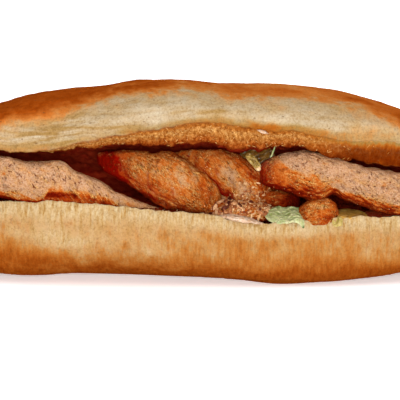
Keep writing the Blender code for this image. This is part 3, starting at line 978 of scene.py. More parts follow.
def crust_colour(tree, brown, fine, marks, paleness):
    """Pale dough that turns to crust with the browning, toned by fat, pores and a fine grain."""
    lower = stored(tree, "lower")
    pale = blended(tree, lower, ramp(tree, paleness, PALE_FLANK), ramp(tree, marks, PALE_LIP))
    crust = blended(tree, lower, ramp(tree, brown, UPPER_CRUST), ramp(tree, brown, LOWER_CRUST))
    crust = blended(tree, levels(tree, brown, 0.0, 0.40), pale, crust)
    crust = blended(tree, stored(tree, "fat"), crust, FAT, "MULTIPLY")
    pores = levels(tree, cells(tree, place_in(tree, (1.7, 1, 1)), 3.1), 0.05, 0.13, 0.7, 0.0)
    upper = levels(tree, lower, 0.0, 1.0, 1.0, 0.0)
    crust = blended(tree, maths(tree, "MULTIPLY", pores, upper), crust, PORE)
    return blended(tree, 0.8, crust, ramp(tree, fine, GRAIN), "MULTIPLY")


def crumb_colour(tree, place, strands, threads):
    """Torn crumb: golden strands with bright threads, shaded from the crust's edge down."""
    knots = levels(tree, clouds(tree, place, 3.5, 3.0, 0.6), 0.42, 0.60, 0.15, 0.95)
    threads = maths(tree, "MULTIPLY", threads, knots)
    crumb = blended(tree, threads, ramp(tree, strands, TORN_CRUMB), THREAD)
    crumb = blended(tree, 1.0, crumb, ramp(tree, stored(tree, "down"), TORN_SHADE), "MULTIPLY")
    return crumb, threads


def bread_finish():
    """Pale to dark crust by the stored browning, torn golden crumb, and crumb deep in the slit darkened by
    meat stain and painted shade.
    """
    finish, tree, shader = new_finish("bread", Specular_IOR_Level=0.0)
    place = place_in(tree)
    fine = clouds(tree, place, 0.9, 4.0, 0.7)
    mottle = clouds(tree, place, 4.0, 5.0, 0.6)
    marks = clouds(tree, place_in(tree, (1.0, 3.0, 6.0)), 1.2, 4.0, 0.6)
    strands = clouds(tree, place_in(tree, (0.9, 1.0, 2.4)), 1.4, 5.0, 0.72)
    threads = ridges(tree, place_in(tree, (0.9, 1.0, 2.2)), 2.4, 0.03)
    brown = browned(tree, fine, mottle, marks)
    paleness = pale_tone(tree)
    crust = crust_colour(tree, brown, fine, marks, paleness)
    crumb, threads = crumb_colour(tree, place, strands, threads)
    colour = blended(tree, stored(tree, "torn"), crust, crumb)
    # painted shade and meat stain on the crumb deep in the slit
    colour = blended(tree, stored(tree, "inner"), colour, ramp(tree, mottle, STAINED_CRUMB))
    plug(tree, shader, Base_Color=colour, Roughness=levels(tree, brown, 0.2, 0.9, 0.78, 0.60))
    bumps(tree, shader, (fine, 0.25), (paleness, 0.30), (strands, 0.26), (threads, 0.12))
    return finish


roll = place_piece("roll_bread", roll_mesh, bread_finish(), "bread", "roll")

# %% [markdown]
# ## Grilled chicken
# Each piece of meat is a ball drawn out on a spine, the same as in the model, only finer. Meat tears
# along its fibres, so the relief is noise stretched along the spine: it is read in the piece's own
# coordinates, in which the spine is straight. These are stored on the mesh, and the finish reads
# them too. Other stored numbers say how far the grill has seared each place and where it is red or
# torn; some of them are painted light and shade: paler tops under the crust, and darker, redder
# undersides, far sides, seams and tears.

# %% The chicken's spines
# Each key is (x, y, z, half height, half depth) in millimetres.
STRIP_LEFT = ((-104, -17, 44, 6.5, 13), (-83, -18.5, 43.6, 7.8, 16.5), (-70, -19, 41.8, 6.7, 17),
              (-58, -19, 43.0, 5.6, 17), (-51, -19, 39.8, 4.4, 16.5), (-44, -18.5, 36.9, 4.2, 16),
              (-26, -18, 29.2, 3.0, 15), (-11, -17, 26.6, 2.4, 13))
CHUNK_LEFT = ((-43.5, -10, 50.4, 5.2, 9), (-33, -11, 48.0, 6.4, 13), (-21, -13, 44.0, 9.8, 15),
              (-12, -16, 41.7, 11.5, 15.5), (-4, -17, 39.3, 10.7, 15), (9, -17, 33.8, 8.8, 13))
SLAB_MIDDLE = ((-12, -6, 50.0, 4.4, 11), (0, -8, 48.8, 5.3, 14), (10, -9, 44.4, 9.1, 15),
               (18, -10, 40.4, 10.6, 15), (31, -10, 33.5, 8.0, 12))
STRIP_RIGHT = ((25, -17, 45.9, 6.4, 14), (32, -17, 45.9, 7.0, 16.5), (42, -17.5, 45.4, 9.0, 17),
               (50, -17.5, 44.1, 9.1, 17), (55, -17.5, 44.9, 7.1, 16.5), (62, -17.5, 41.9, 7.5, 16.5),
               (83, -16.5, 36.4, 8.6, 15.5), (101, -15, 34.2, 7.0, 12))
NUGGET = ((41, -29.6, 28.6, 5.6, 7.5), (49, -30.2, 29.4, 7.0, 8.0), (57.5, -30.0, 30.4, 6.8, 7.0))
CHUNK_BACK = ((25, -12, 34.0, 4.0, 9), (34, -13, 33.6, 5.0, 10), (42.5, -11, 33.5, 4.0, 9))
HEAP_CORE = ((3, -18, 29.6, 3.6, 13), (15, -20, 30.4, 4.6, 15), (31, -20, 28.8, 3.8, 14.5))

# %% The relief of meat

# Layers of noise, each (height, size along x, y and z, drift); the piece's seed is added to the drift.
FIBRES = ((0.30, (6, 1.5, 1.5), 0), (0.18, (3, 0.8, 0.8), 3))
MEAT_LUMPS = ((0.45, 3.4, 0), (0.14, 0.9, 1))
SEARED_CLOUDS = ((0.10, 5, 0), (0.09, 1.8, 2))
SWELLINGS = ((1.0, 9.0), (0.4, 4.0))  # (height, size) of the uneven swelling in the heat
SEED_STEPS = (7.3, 3.1, 1.7)  # how far apart the seeds read their noise
# Painted shade: the tears are sunk into the relief and also darkened.
TEAR_DEPTH, TEAR_SHOWN, TEAR_START, TEAR_RUN = 0.5, 0.45, 0.40, 0.25
# Painted shade: a piece is made darker and redder on its side away from the slit.
SEARED_BEHIND, RED_BEHIND = 0.35, 0.3  # how seared and how red a piece is on the side away from the slit
END_TURN = 5  # how late, near its tips, a piece swells along its spine instead of across it
TURNED = 0.6  # over how much of the normal's turn one side of the meat gives way to another


def tear(own, seed):
    """How deep the meat is torn at a place along the spine, from 0 to about 1; most of it isn't."""
    clumped = 0.10 * lumps(own, (14, 7, 7), seed + 9)
    return ease((lumps(own, (2.4, 1.2, 1.2), seed + 7) - TEAR_START + clumped) / TEAR_RUN)


def meat_relief(p, own, seed):
    """Fibres, tears and lumps of grilled meat at a place, own being the place along the spine."""
    return layered(own, FIBRES, seed) - TEAR_DEPTH * tear(own, seed) + layered(p, MEAT_LUMPS, seed)


def powered(value, square):
    """A sine or cosine, bent so that a circle drawn with it gets squarer."""
    return math.copysign(abs(value) ** (2 / square), value)


# %% The skin of a piece of meat


def meat_rings(spine, seed, size, blunt, square, uneven, lay, tilt, sags):
    """Rings of points round a spine, and each point's place with the spine laid straight."""
    start, end = spine[0][0], spine[-1][0]
    middle, half = (start + end) / 2, (end - start) / 2
    lines = [[(key[0], key[i]) for key in spine] for i in range(1, 5)]
    drift = Vector([seed * step for step in SEED_STEPS])
    rings, owns = [], []
    for ring in range(1, size[0]):
        share = math.cos(math.pi * ring / size[0])
        x = middle + share * half
        y, z, high, deep = (along(line, x) for line in lines)
        full = fullness(share, blunt)
        sag = sum(drop * math.exp(-((x - at) / reach) ** 2) for at, reach, drop in sags)
        points = []
        for i in range(size[1]):
            angle = math.tau * i / size[1]
            round_y, round_z = powered(math.cos(angle), square), powered(math.sin(angle), square)
            place = Vector((x, y + round_y * deep * full, z + round_z * high * full))
            outward = Vector((share**END_TURN, round_y * full, round_z * full)).normalized()
            swelling = sum(noise.noise(place / wide + drift) * tall for tall, wide in SWELLINGS)
            place.z -= sag * max(0.0, -round_z) + tilt * round_y * deep * full * max(0.0, round_z)
            points.append(place + outward * swelling * uneven)
            owns.append(Vector((x, round_y * deep * full, round_z * high * full + lay * (x - middle))))
        rings.append(points)
    tips = [Vector((x, along(lines[0], x), along(lines[1], x))) for x in (end, start)]
    return rings, tips, [Vector((end, 0, 0))] + owns + [Vector((start, 0, 0))]


def morsel(name, spine, seed, blunt=3.0, square=2.5, size=(200, 150), uneven=1.0, lay=0.0, tilt=0.0, sags=(),
           dents=(), singe=(), singed=0.36, base=0.4, under=0.35, steamed=0.0, edged=0.0, spots=(), reds=()):
    """The marked skin of a piece of meat on its spine.

    blunt and square say how full its ends and its section are, size the number of rings and points.
    lay is how steeply the fibres run down across the spine, and tilt how steeply the top falls away
    from the slit, both as slopes. sags are (x, reach, drop) of a hanging underside, and dents are
    (x, z, wide, high, depth).
    base and under are how seared it is all over and below, under also standing for painted shade on the
    underside; singe is the line below which it is browned further, by singed. steamed is painted light: how
    much paler its top is made where the crust shades it. edged is painted shade: how dark red it turns where
    a piece leans on its left-hand neighbour. spots and reds are (x, z, wide, high, amount) of places that
    are seared more, and of places stained red.
    """
    rings, tips, owns = meat_rings(spine, seed, size, blunt, square, uneven, lay, tilt, sags)
    mesh = lofted(name, rings, *tips)
    start, end = spine[0][0], spine[-1][0]
    middle, half = (start + end) / 2, (end - start) / 2

    def surface(index, p, normal):
        fade = fullness((p.x - middle) / (half + 1), 4)
        return meat_relief(p, owns[index], seed) * fade - (spots_at(p, dents) if normal.y < 0.3 else 0.0)

    def seared(p, normal):
        # painted shade, partly real searing: darker on the underside and on the side away from the slit
        amount = base + under * rise(-normal.z, 0.05, TURNED) + SEARED_BEHIND * rise(normal.y, -0.25, TURNED)
        if singe:
            amount += singed * ease((along(singe, p.x) - p.z + 0.6 * lumps(p, 2.2, seed)) / 1.8 + 0.5)
        return amount + spots_at(p, spots) + layered(p, SEARED_CLOUDS, seed)

    def red(p, normal):
        # painted shade tinted red: on the side away from the slit and where a piece leans on its neighbour;
        # the reds are real stains
        leaning = edged * rise(-normal.x - normal.z, 0.35, TURNED)
        return RED_BEHIND * rise(normal.y, -0.5, TURNED) + leaning + spots_at(p, reds)

    raise_relief(mesh, surface)
    mark_by(mesh, "seared", seared)
    mark_by(mesh, "red", red)
    # painted light: the tops that the crust shades are made paler
    mark_by(mesh, "steamed", lambda p, normal: steamed * rise(normal.z, 0.1, TURNED))
    # painted shade in the tears
    mark(mesh, "torn", [TEAR_SHOWN * tear(own, seed) for own in owns])
    mark_place(mesh, "grain", owns)
    return mesh


# %% How each piece was grilled
# Some settings below are painted light and shade: paler tops under the crust, and darker, redder undersides,
# far sides and seams.
MEAT = {
    "chicken_strip_left": dict(
        spine=STRIP_LEFT, seed=1, square=4.2, size=(250, 150), lay=0.3, base=0.06, under=0.45, steamed=0.3,
        tilt=0.36, singed=0.66, sags=((-60, 8, 5.0), (-46, 9, 2.6)), dents=((-57, 37.5, 10, 2.2, 1.0),),
        singe=((-110, 36), (-84, 37.6), (-72, 36.0), (-66, 36.6), (-62, 40.4), (-55, 40.2), (-46, 38.8),
               (-38, 36.4), (-32, 32), (-11, 25)),
        spots=((-30, 34, 14, 3, 0.14),
               (-75, 39, 5, 2, 0.10), (-83, 38, 5, 2, 0.25))),
    "chicken_strip_right": dict(
        spine=STRIP_RIGHT, seed=4, blunt=4.0, square=3.8, size=(240, 150), lay=0.2, base=0.06, under=0.40,
        steamed=0.2, tilt=0.22, sags=((49, 5, 1.4),), dents=((56.5, 40.5, 3, 4, 1.6), (43, 53, 5, 3, -0.5)),
        singe=((25, 60), (30, 57), (34, 52), (38, 49), (43, 47.4), (48.5, 47.4), (52, 44.0),
               (55.5, 41.0), (61.6, 39.4), (70, 37.4), (78, 35.2), (90, 32), (101, 30)),
        reds=((26.5, 47, 4, 6, 0.5), (30, 42, 5, 4, 0.2)),
        spots=((26, 46, 5, 9, 0.38), (37, 52, 4, 2.5, -0.12), (31, 44, 4, 5, -0.06),
               (38, 41.0, 11, 3.0, 0.30))),
    "chicken_chunk_left": dict(
        spine=CHUNK_LEFT, seed=2, square=3.4, tilt=0.2, size=(190, 150), lay=0.42, base=0.46, under=0.06,
        edged=0.7,
        dents=((-18, 44, 10, 3, -0.5),),
        singe=((-45, 53), (-39.5, 49.0), (-33, 44.5), (-25, 38.6), (-16.5, 34.6), (-8, 31), (9, 24)),
        singed=0.12, reds=((-39.5, 50, 6, 9, 1.3), (-35, 48, 5, 5, 0.6), (-30, 43.5, 7, 3, 0.4),
                           (-21, 38, 8, 2.6, 0.4)),
        spots=((-20, 48, 8, 3, -0.10), (-8, 45, 6, 5, -0.24), (-22, 42, 8, 2.5, 0.10),
               (3, 36, 3, 4, 0.10), (1, 41, 3, 3, 0.10))),
    "chicken_slab_middle": dict(
        spine=SLAB_MIDDLE, seed=3, square=3.4, tilt=0.2, size=(170, 140), lay=0.45, base=0.48, under=0.10,
        edged=1.2,
        dents=((6, 46, 2.0, 6, 0.9), (23, 46, 4, 6, -2.2), (26, 39, 4, 5, -1.6)),
        spots=((11, 46.5, 3, 4, -0.30), (15, 43, 4, 4, -0.34), (20, 38, 4.5, 4, -0.36),
               (8, 41, 3, 4, 0.18), (13, 38, 2, 2.5, 0.30), (21, 46, 4, 5, 0.22), (26, 41, 4, 6, 0.24))),
    "chicken_nugget": dict(
        spine=NUGGET, seed=5, blunt=2.4, tilt=0.2, size=(110, 110), base=0.64, under=0.14,
        # Painted light: its top is made paler, where the right-hand strip shades it.
        spots=((50, 34.0, 6, 3.0, -0.24),)),
    "chicken_chunk_back": dict(
        # Painted shade: this piece lies in the dark gap deep in the slit, so it is seared darker, most at
        # its right end.
        spine=CHUNK_BACK, seed=6, size=(90, 90), base=0.70, under=0.10,
        spots=((42, 33, 5, 9, 0.4),)),
}

# %% [markdown]
# ## The finish of the meat
# Breast that was marinated and grilled is pale inside, orange where the spice coloured it and dark red
# brown where the fire touched it. The stored searing picks a colour from one ramp that runs through all
# of these, and it also carries painted shade underneath and behind the pieces. Noise drawn out along the
# fibres shifts it, thin bright threads lie over it where the meat isn't yet dark, partly pale fibres and
# partly painted highlights, and short dark dashes stand for the spice, with painted shade in the tears.
# That needs no picture and fits every piece.

# %% The finish of grilled chicken
# Painted light: the paler colour given to the tops that the crust shades.
STEAMED = rgb(214, 172, 134)
COOKED = ((0.00, 190, 150, 118), (0.20, 188, 142, 98), (0.38, 188, 108, 44), (0.55, 176, 82, 20),
          (0.76, 146, 50, 12), (1.00, 106, 18, 4))
# Dark red of the marinade stains, also used as painted shade behind the pieces and at their seams.
MARINADE = rgb(150, 18, 4)
# Painted highlight: pale fibres that also stand in for the meat's small highlights.
FIBRE = rgb(232, 188, 112)
# Dark brown of the spice, also used as painted shade in the tears.
SPECK = rgb(100, 34, 10)
FLECKS = ((0.34, 206, 172, 142), (0.48, 246, 236, 224), (0.60, 255, 255, 255))


def chicken_finish():
    """Flesh from pale to seared by the stored number, with fibres, pale threads that are partly painted
    highlights, tears darkened with painted shade, and dark flecks of spice.
    """
    finish, tree, shader = new_finish("grilled_chicken", Specular_IOR_Level=0.0, Subsurface_Weight=0.03,
                                      Subsurface_Scale=0.002, Subsurface_Radius=(1.0, 0.45, 0.25))
    place = place_in(tree)
    fibres = clouds(tree, place_in(tree, (4.0, 1.0, 1.0), "grain"), 1.3, 5.0, 0.75)
    patches = clouds(tree, place, 3.0, 5.0, 0.65)
    seared = maths(tree, "ADD", stored(tree, "seared"), swing(tree, fibres, -0.17))
    seared = maths(tree, "ADD", seared, swing(tree, patches, 0.14))
    # painted light: paler flesh on the tops under the crust
    flesh = blended(tree, stored(tree, "steamed"), ramp(tree, seared, COOKED), STEAMED)
    threads = ridges(tree, place_in(tree, (3.0, 1.0, 1.0), "grain"), 1.0, 0.045)
    showing = levels(tree, clouds(tree, place, 5.0, 3.0, 0.6), 0.38, 0.56, 0.1, 1.0)
    threads = maths(tree, "MULTIPLY", threads, showing)
    # pale fibres, which also stand in as painted highlights
    pale_fibres = maths(tree, "MULTIPLY", threads, levels(tree, seared, 0.80, 0.50))
    pale_fibres = maths(tree, "MULTIPLY", pale_fibres, levels(tree, seared, 0.10, 0.35))
    flesh = blended(tree, pale_fibres, flesh, FIBRE)
    # marinade stains, with painted shade tinted red behind the pieces and at their seams
    stain = maths(tree, "MULTIPLY", stored(tree, "red"), levels(tree, patches, 0.3, 0.6, 1.2, 0.6))
    flesh = blended(tree, stain, flesh, MARINADE)
    fine = clouds(tree, place, 0.6, 3.0, 0.7)
    flesh = blended(tree, 1.0, flesh, ramp(tree, fine, FLECKS), "MULTIPLY")

    dashes = clouds(tree, place_in(tree, (1.6, 1.0, 1.0), "grain"), 0.7, 2.0, 0.6)
    dashes = levels(tree, dashes, 0.58, 0.66, 0.0, 0.95)
    specks = maths(tree, "MULTIPLY", dashes, levels(tree, clouds(tree, place, 5.0, 3.0), 0.42, 0.56))
    # painted shade in the tears joins the dark dashes of spice
    specks = maths(tree, "MAXIMUM", specks, stored(tree, "torn"))
    flesh = blended(tree, specks, flesh, SPECK)
    plug(tree, shader, Base_Color=flesh, Roughness=levels(tree, patches, 0.3, 0.7, 0.42, 0.66))
    deep = maths(tree, "MULTIPLY", specks, -1.0)
    bumps(tree, shader, (fibres, 0.9), (patches, 0.8), (fine, 0.35), (threads, 0.20), (deep, 0.3))
    return finish


chicken = chicken_finish()
meats = {}
for name, recipe in MEAT.items():
    meats[name] = place_piece(name + "_meat", morsel(name, **recipe), chicken, "chicken", name)

# %% [markdown]
# ## Scattered bits
# Crumbs, shreds of torn bread, chopped meat and flakes of char are all the same thing to a maker:
# small uneven bits sown over a surface. One Geometry Nodes tree sows them all. It throws points on
# the faces of a surface, more where a stored number is high, puts one of three lumpy bits on each
# point, turned and sized at random from a fixed seed, and makes real faces of them.

# %% The tree that sows bits
BIT_KINDS = 3
SOWING = (  # name, kind of socket
    ("Surface", "NodeSocketObject"), ("Where", "NodeSocketString"), ("Per square metre", "NodeSocketFloat"),
    ("Smallest", "NodeSocketVector"), ("Largest", "NodeSocketVector"), ("Roundness", "NodeSocketInt"),
    ("Lumpiness", "NodeSocketFloat"), ("Lean", "NodeSocketFloat"), ("Seed", "NodeSocketInt"),
    ("Finish", "NodeSocketMaterial"),
)


def lumpy_bit(tree, given, kind):
    """A ball of radius 1 pushed about by noise."""
    ball = node(tree, "GeometryNodeMeshIcoSphere", {"Radius": 1.0, "Subdivisions": given["Roundness"]})
    here = node(tree, "GeometryNodeInputPosition")
    moved = node(tree, "ShaderNodeVectorMath", {0: here, 1: (4.1 * kind, 1.7 * kind, 0.0)}, operation="ADD")
    push = node(tree, "ShaderNodeTexNoise", {"Vector": moved, "Scale": 1.1, "Detail": 1.0}, out="Color")
    push = node(tree, "ShaderNodeVectorMath", {0: push, 1: (0.5, 0.5, 0.5)}, operation="SUBTRACT")
    push = node(tree, "ShaderNodeVectorMath", {0: push, "Scale": given["Lumpiness"]}, operation="SCALE")
    return node(tree, "GeometryNodeSetPosition", {"Geometry": ball, "Offset": push})


def sowing_tree():
    tree = bpy.data.node_groups.new("sown_bits", "GeometryNodeTree")
    for name, kind in SOWING:
        tree.interface.new_socket(name, in_out="INPUT", socket_type=kind)
    tree.interface.new_socket("Geometry", in_out="OUTPUT", socket_type="NodeSocketGeometry")
    given = tree.nodes.new("NodeGroupInput").outputs
    surface = node(tree, "GeometryNodeObjectInfo", {"Object": given["Surface"]}, out="Geometry")
    where = node(tree, "GeometryNodeInputNamedAttribute", {"Name": given["Where"]})
    density = node(tree, "ShaderNodeMath", {0: where, 1: given["Per square metre"]}, operation="MULTIPLY")
    sown = tree.nodes.new("GeometryNodeDistributePointsOnFaces")
    for socket, value in (("Mesh", surface), ("Density", density), ("Seed", given["Seed"])):
        tree.links.new(value, sown.inputs[socket])
    kinds = tree.nodes.new("GeometryNodeGeometryToInstance")
    for kind in range(BIT_KINDS):
        tree.links.new(lumpy_bit(tree, given, kind), kinds.inputs[0])
    turn = node(tree, "FunctionNodeRandomValue", {0: (-1, -1, -3.2), 1: (1, 1, 3.2), "Seed": 1},
                data_type="FLOAT_VECTOR")
    leaning = node(tree, "ShaderNodeCombineXYZ", {0: given["Lean"], 1: given["Lean"], 2: 1.0})
    turn = node(tree, "ShaderNodeVectorMath", {0: turn, 1: leaning}, operation="MULTIPLY")
    turned = node(tree, "FunctionNodeRotateRotation", {"Rotation": sown.outputs["Rotation"],
                                                       "Rotate By": turn}, rotation_space="LOCAL")
    size = node(tree, "FunctionNodeRandomValue", {0: given["Smallest"], 1: given["Largest"], "Seed": 2},
                data_type="FLOAT_VECTOR")
    which = node(tree, "FunctionNodeRandomValue", {4: 0, 5: BIT_KINDS - 1, "Seed": 3}, out=2,
                 data_type="INT")
    bits = node(tree, "GeometryNodeInstanceOnPoints", {
        "Points": sown.outputs["Points"], "Instance": kinds.outputs[0], "Pick Instance": True,
        "Instance Index": which, "Rotation": turned, "Scale": size})
    tone = node(tree, "FunctionNodeRandomValue", {2: 0.0, 3: 1.0, "Seed": 4}, out=1)
    toned = node(tree, "GeometryNodeStoreNamedAttribute", {"Geometry": bits, "Name": "tone", "Value": tone},
                 domain="INSTANCE")
    real = node(tree, "GeometryNodeRealizeInstances", {"Geometry": toned})
    smooth = node(tree, "GeometryNodeSetShadeSmooth", {"Geometry": real})
    done = node(tree, "GeometryNodeSetMaterial", {"Geometry": smooth, "Material": given["Finish"]})
    tree.links.new(done, tree.nodes.new("NodeGroupOutput").inputs["Geometry"])
    return tree


sower = sowing_tree()
print("sowing tree:", len(sower.nodes), "nodes")

# %% Sowing one kind of bit


def sow(name, surface, finish, slot, *nodes, where, per_cm2, smallest, largest, roundness=2, lumpiness=0.9,
        lean=1.0, seed=1):
    """Sows bits over a surface where its stored number is above 0; sizes are half sizes in millimetres."""
    settings = {
        "Surface": surface, "Where": where, "Per square metre": per_cm2 * 1e4,
        "Smallest": [value * MM for value in smallest], "Largest": [value * MM for value in largest],
        "Roundness": roundness, "Lumpiness": lumpiness, "Lean": lean, "Seed": seed, "Finish": finish,
    }
    field = bpy.data.objects.new(name + "_field", bpy.data.meshes.new(name + "_field"))
    bpy.context.scene.collection.objects.link(field)
    drill = field.modifiers.new("sow", "NODES")
    drill.node_group = sower
    for socket in sower.interface.items_tree:
        if socket.in_out == "INPUT":
            drill[socket.identifier] = settings[socket.name]
    graph = bpy.context.evaluated_depsgraph_get()
    mesh = bpy.data.meshes.new_from_object(field.evaluated_get(graph))
    mesh.name = name
    bpy.data.objects.remove(field)
    return place_piece(name, mesh, None, slot, *nodes)


# %% [markdown]
# ## Bits of the sandwich
# The torn edge carries small pulled shreds and crumbs. The meat carries flakes of char and crushed
# spice. The heap under the big pieces is chopped meat, so its bits are larger and rounder.

# %% Finishes of the bits


def bit_finish(name, rough, shine, stops):
    """Each bit takes its own tone from a row of colours, with a little cloudiness inside it."""
    finish, tree, shader = new_finish(name, Roughness=rough, Specular_IOR_Level=shine)
    cloudy = clouds(tree, place_in(tree), 0.8, 4.0, 0.65)
    tone = maths(tree, "ADD", stored(tree, "tone"), swing(tree, cloudy, 0.25, 0.25))
    plug(tree, shader, Base_Color=ramp(tree, tone, stops))
    bumps(tree, shader, (cloudy, 0.3))
    return finish


BIT_LOOKS = {  # roughness, shine, and the row of colours
    "torn_shreds": (0.85, 0.0, ((0.0, 138, 80, 28), (0.5, 170, 116, 56), (1.0, 196, 150, 90))),
    "crumbs": (0.85, 0.1, ((0.0, 176, 136, 84), (1.0, 210, 186, 146))),
    "spice": (0.6, 0.3, ((0.0, 92, 34, 10), (0.4, 150, 70, 26), (0.7, 196, 116, 58), (1.0, 236, 190, 130))),
    "red_meat": (0.5, 0.2, ((0.0, 60, 14, 6), (0.40, 120, 52, 24), (0.72, 174, 114, 68),
                            (1.0, 210, 164, 120))),
    "pale_meat": (0.5, 0.2, ((0.0, 116, 46, 16), (0.3, 168, 98, 48), (0.6, 194, 142, 90),
                             (1.0, 216, 178, 134))),
}
BIT_FINISHES = {name: bit_finish(name, *look) for name, look in BIT_LOOKS.items()}
print("finishes of bits:", ", ".join(BIT_FINISHES))

# %% Where the bits lie


def torn_here(p, zone):
    """Shreds stand on the torn band, in clumps."""
    return max(0.0, lumps(p, 4.0, 1.5) + 0.4) * along(TORN_SHOWN, p.x) if zone == "band" else 0.0


def crumbs_here(p, zone):
    """Crumbs lie along the lower lip."""
    on_lip = zone in ("belly", "floor") and p.y < -28
    return rise(p.z - along(LIP, p.x), -2.5, 2) * slit_openness(p.x) if on_lip else 0.0


def spiced_here(p, normal):
    """Spice clings to the meat in clumps, least on the side away from the slit."""
    return max(0.0, lumps(p, 6.0, 2.5) + 0.2) * ease(0.8 - normal.y)


def slab_frays(p, _normal):
    """The slab frays at its lower right end."""
    return spot(p, 22, 36, 6, 4) * rise(-p.y, 8, 4)


def heap_shows(p, normal):
    """The heap shows its top and its front."""
    return rise(normal.z, -0.6, 0.5) * rise(-p.y, 12, 6)


def heap_frays(p, normal):
    """Its right-hand part is pale pulled meat."""
    return heap_shows(p, normal) * rise(p.x, 9, 5)


def heap_chopped(p, normal):
    """Its left-hand part is chopped fine, with few such bits on the right."""
    return heap_shows(p, normal) * (1 - 0.8 * rise(p.x, 9, 5))


for name, bits_here in (("shreds", torn_here), ("crumbs", crumbs_here)):
    mark(roll_mesh, name, [bits_here(vertex.co / MM, roll_zone(vertex.index)[0])
                           for vertex in roll_mesh.vertices])
for meat in meats.values():
    mark_by(meat.data, "spiced", spiced_here)
print("pieces with spice on them:", len(meats))
slab = meats["chicken_slab_middle"]
mark_by(slab.data, "frayed", slab_frays)
heap_mesh = morsel("heap", HEAP_CORE, 7, uneven=0.6, size=(110, 90), base=0.5)
heap = place_piece("chopped_chicken_core", heap_mesh, chicken, "chicken", "chopped_chicken")
mark_by(heap.data, "frayed", heap_frays)
mark_by(heap.data, "chopped", heap_chopped)

# %% Sow the bits
sow("torn_shreds", roll, BIT_FINISHES["torn_shreds"], "bread", where="shreds", per_cm2=60, lean=0.35, seed=3,
    smallest=(0.25, 0.10, 0.08), largest=(1.1, 0.22, 0.16), roundness=2, lumpiness=1.6)
sow("lip_crumbs", roll, BIT_FINISHES["crumbs"], "bread", where="crumbs", per_cm2=9, lean=0.5, seed=8,
    smallest=(0.15, 0.12, 0.10), largest=(0.45, 0.35, 0.28), roundness=1)
for i, (name, meat) in enumerate(meats.items()):
    sow(name + "_spice", meat, BIT_FINISHES["spice"], "chicken", where="spiced", per_cm2=22, lean=0.15,
        seed=11 + i, smallest=(0.10, 0.08, 0.04), largest=(0.40, 0.24, 0.14), roundness=1)
sow("chopped_meat", heap, BIT_FINISHES["red_meat"], "chicken", where="chopped", per_cm2=36, seed=5,
    smallest=(0.40, 0.35, 0.30), largest=(2.3, 1.3, 1.0), roundness=2, lumpiness=1.5)
for name, surface, seed in (("frayed_heap", heap, 6), ("frayed_slab", slab, 7)):
    sow(name, surface, BIT_FINISHES["pale_meat"], "chicken", where="frayed", per_cm2=100, seed=seed,
        lean=0.6, smallest=(0.25, 0.20, 0.15), largest=(1.1, 0.55, 0.45), roundness=2, lumpiness=1.7)

# %% [markdown]
# ## Leaves and slices
# Lettuce is a sheet of a millimetre or less that ruffles where it was torn, so it is a grid lifted by
# waves, closed into a thin solid. Pickle and tomato are slices with a soft rim. The onion is a curved
# strip. All are wet, so they shine a little and let some light into them.

# %% Thin sheets and slices
LEAF_TAPER = (0.25, 0.2)  # how much a leaf's front and back edges, and its two ends, are drawn in
LEAF_EDGE = 0.1  # how thick its rim is, as a share of its middle
SLICE_POWERS = (0.45, 0.35)  # of the sine and the cosine; the lower they are, the fuller the rim
SLICE_DENT, SLICE_DENT_SIZE = 0.25, 2.2


def sheet_faces(columns, rows):
    """Faces of two grids of points, one above the other, and of the rim between them."""
    wide = columns + 1
    count = wide * (rows + 1)
    faces = []
    for row in range(rows):
        for column in range(columns):
            a = row * wide + column
            top = (a, a + 1, a + wide + 1, a + wide)
            faces += [top, tuple(count + i for i in reversed(top))]
    rim = ([c for c in range(columns)] + [columns + r * wide for r in range(rows)]
           + [rows * wide + c for c in range(columns, 0, -1)] + [r * wide for r in range(rows, 0, -1)])
    for i, j in zip(rim, rim[1:] + rim[:1]):
        faces.append((j, i, count + i, count + j))
    return faces


def leaf_skin(name, size, place, turn, thick, shape_of, cells_of=(110, 70)):
    """A closed thin sheet; shape_of(u, v) lifts it, with u and v from -0.5 to 0.5 across it.

    The place on it is stored, with how near that is to the right-hand and to the front edge.
    """
    columns, rows = cells_of
    into = Matrix.LocRotScale(Vector(place), Euler([math.radians(angle) for angle in turn]), None)
    sides, owns, outs, pales = ([], []), [], [], []
    for row in range(rows + 1):
        for column in range(columns + 1):
            u, v = column / columns - 0.5, row / rows - 0.5
            x = u * size[0] * (1 - LEAF_TAPER[0] * abs(2 * v) ** 3)
            y = v * size[1] * (1 - LEAF_TAPER[1] * abs(2 * u) ** 3)
            rim = max(abs(2 * u), abs(2 * v))
            half = thick / 2 * (LEAF_EDGE + (1 - LEAF_EDGE) * fullness(rim, 5))
            for side, up in zip(sides, (half, -half)):
                side.append(into @ Vector((x, y, shape_of(u, v) + up)))
            owns.append(Vector((x, y, 0)))
            outs.append(max(0.0, 2 * u) ** 2)
            pales.append(max(0.0, -v) * (1 - max(0.0, 2 * u)))
    mesh = bpy.data.meshes.new(name)
    mesh.from_pydata([point * MM for side in sides for point in side], [], sheet_faces(columns, rows))
    turn_outwards(mesh)
    mark_place(mesh, "grain", owns + owns)
    mark(mesh, "out", outs + outs)
    mark(mesh, "pale", pales + pales)
    return mesh


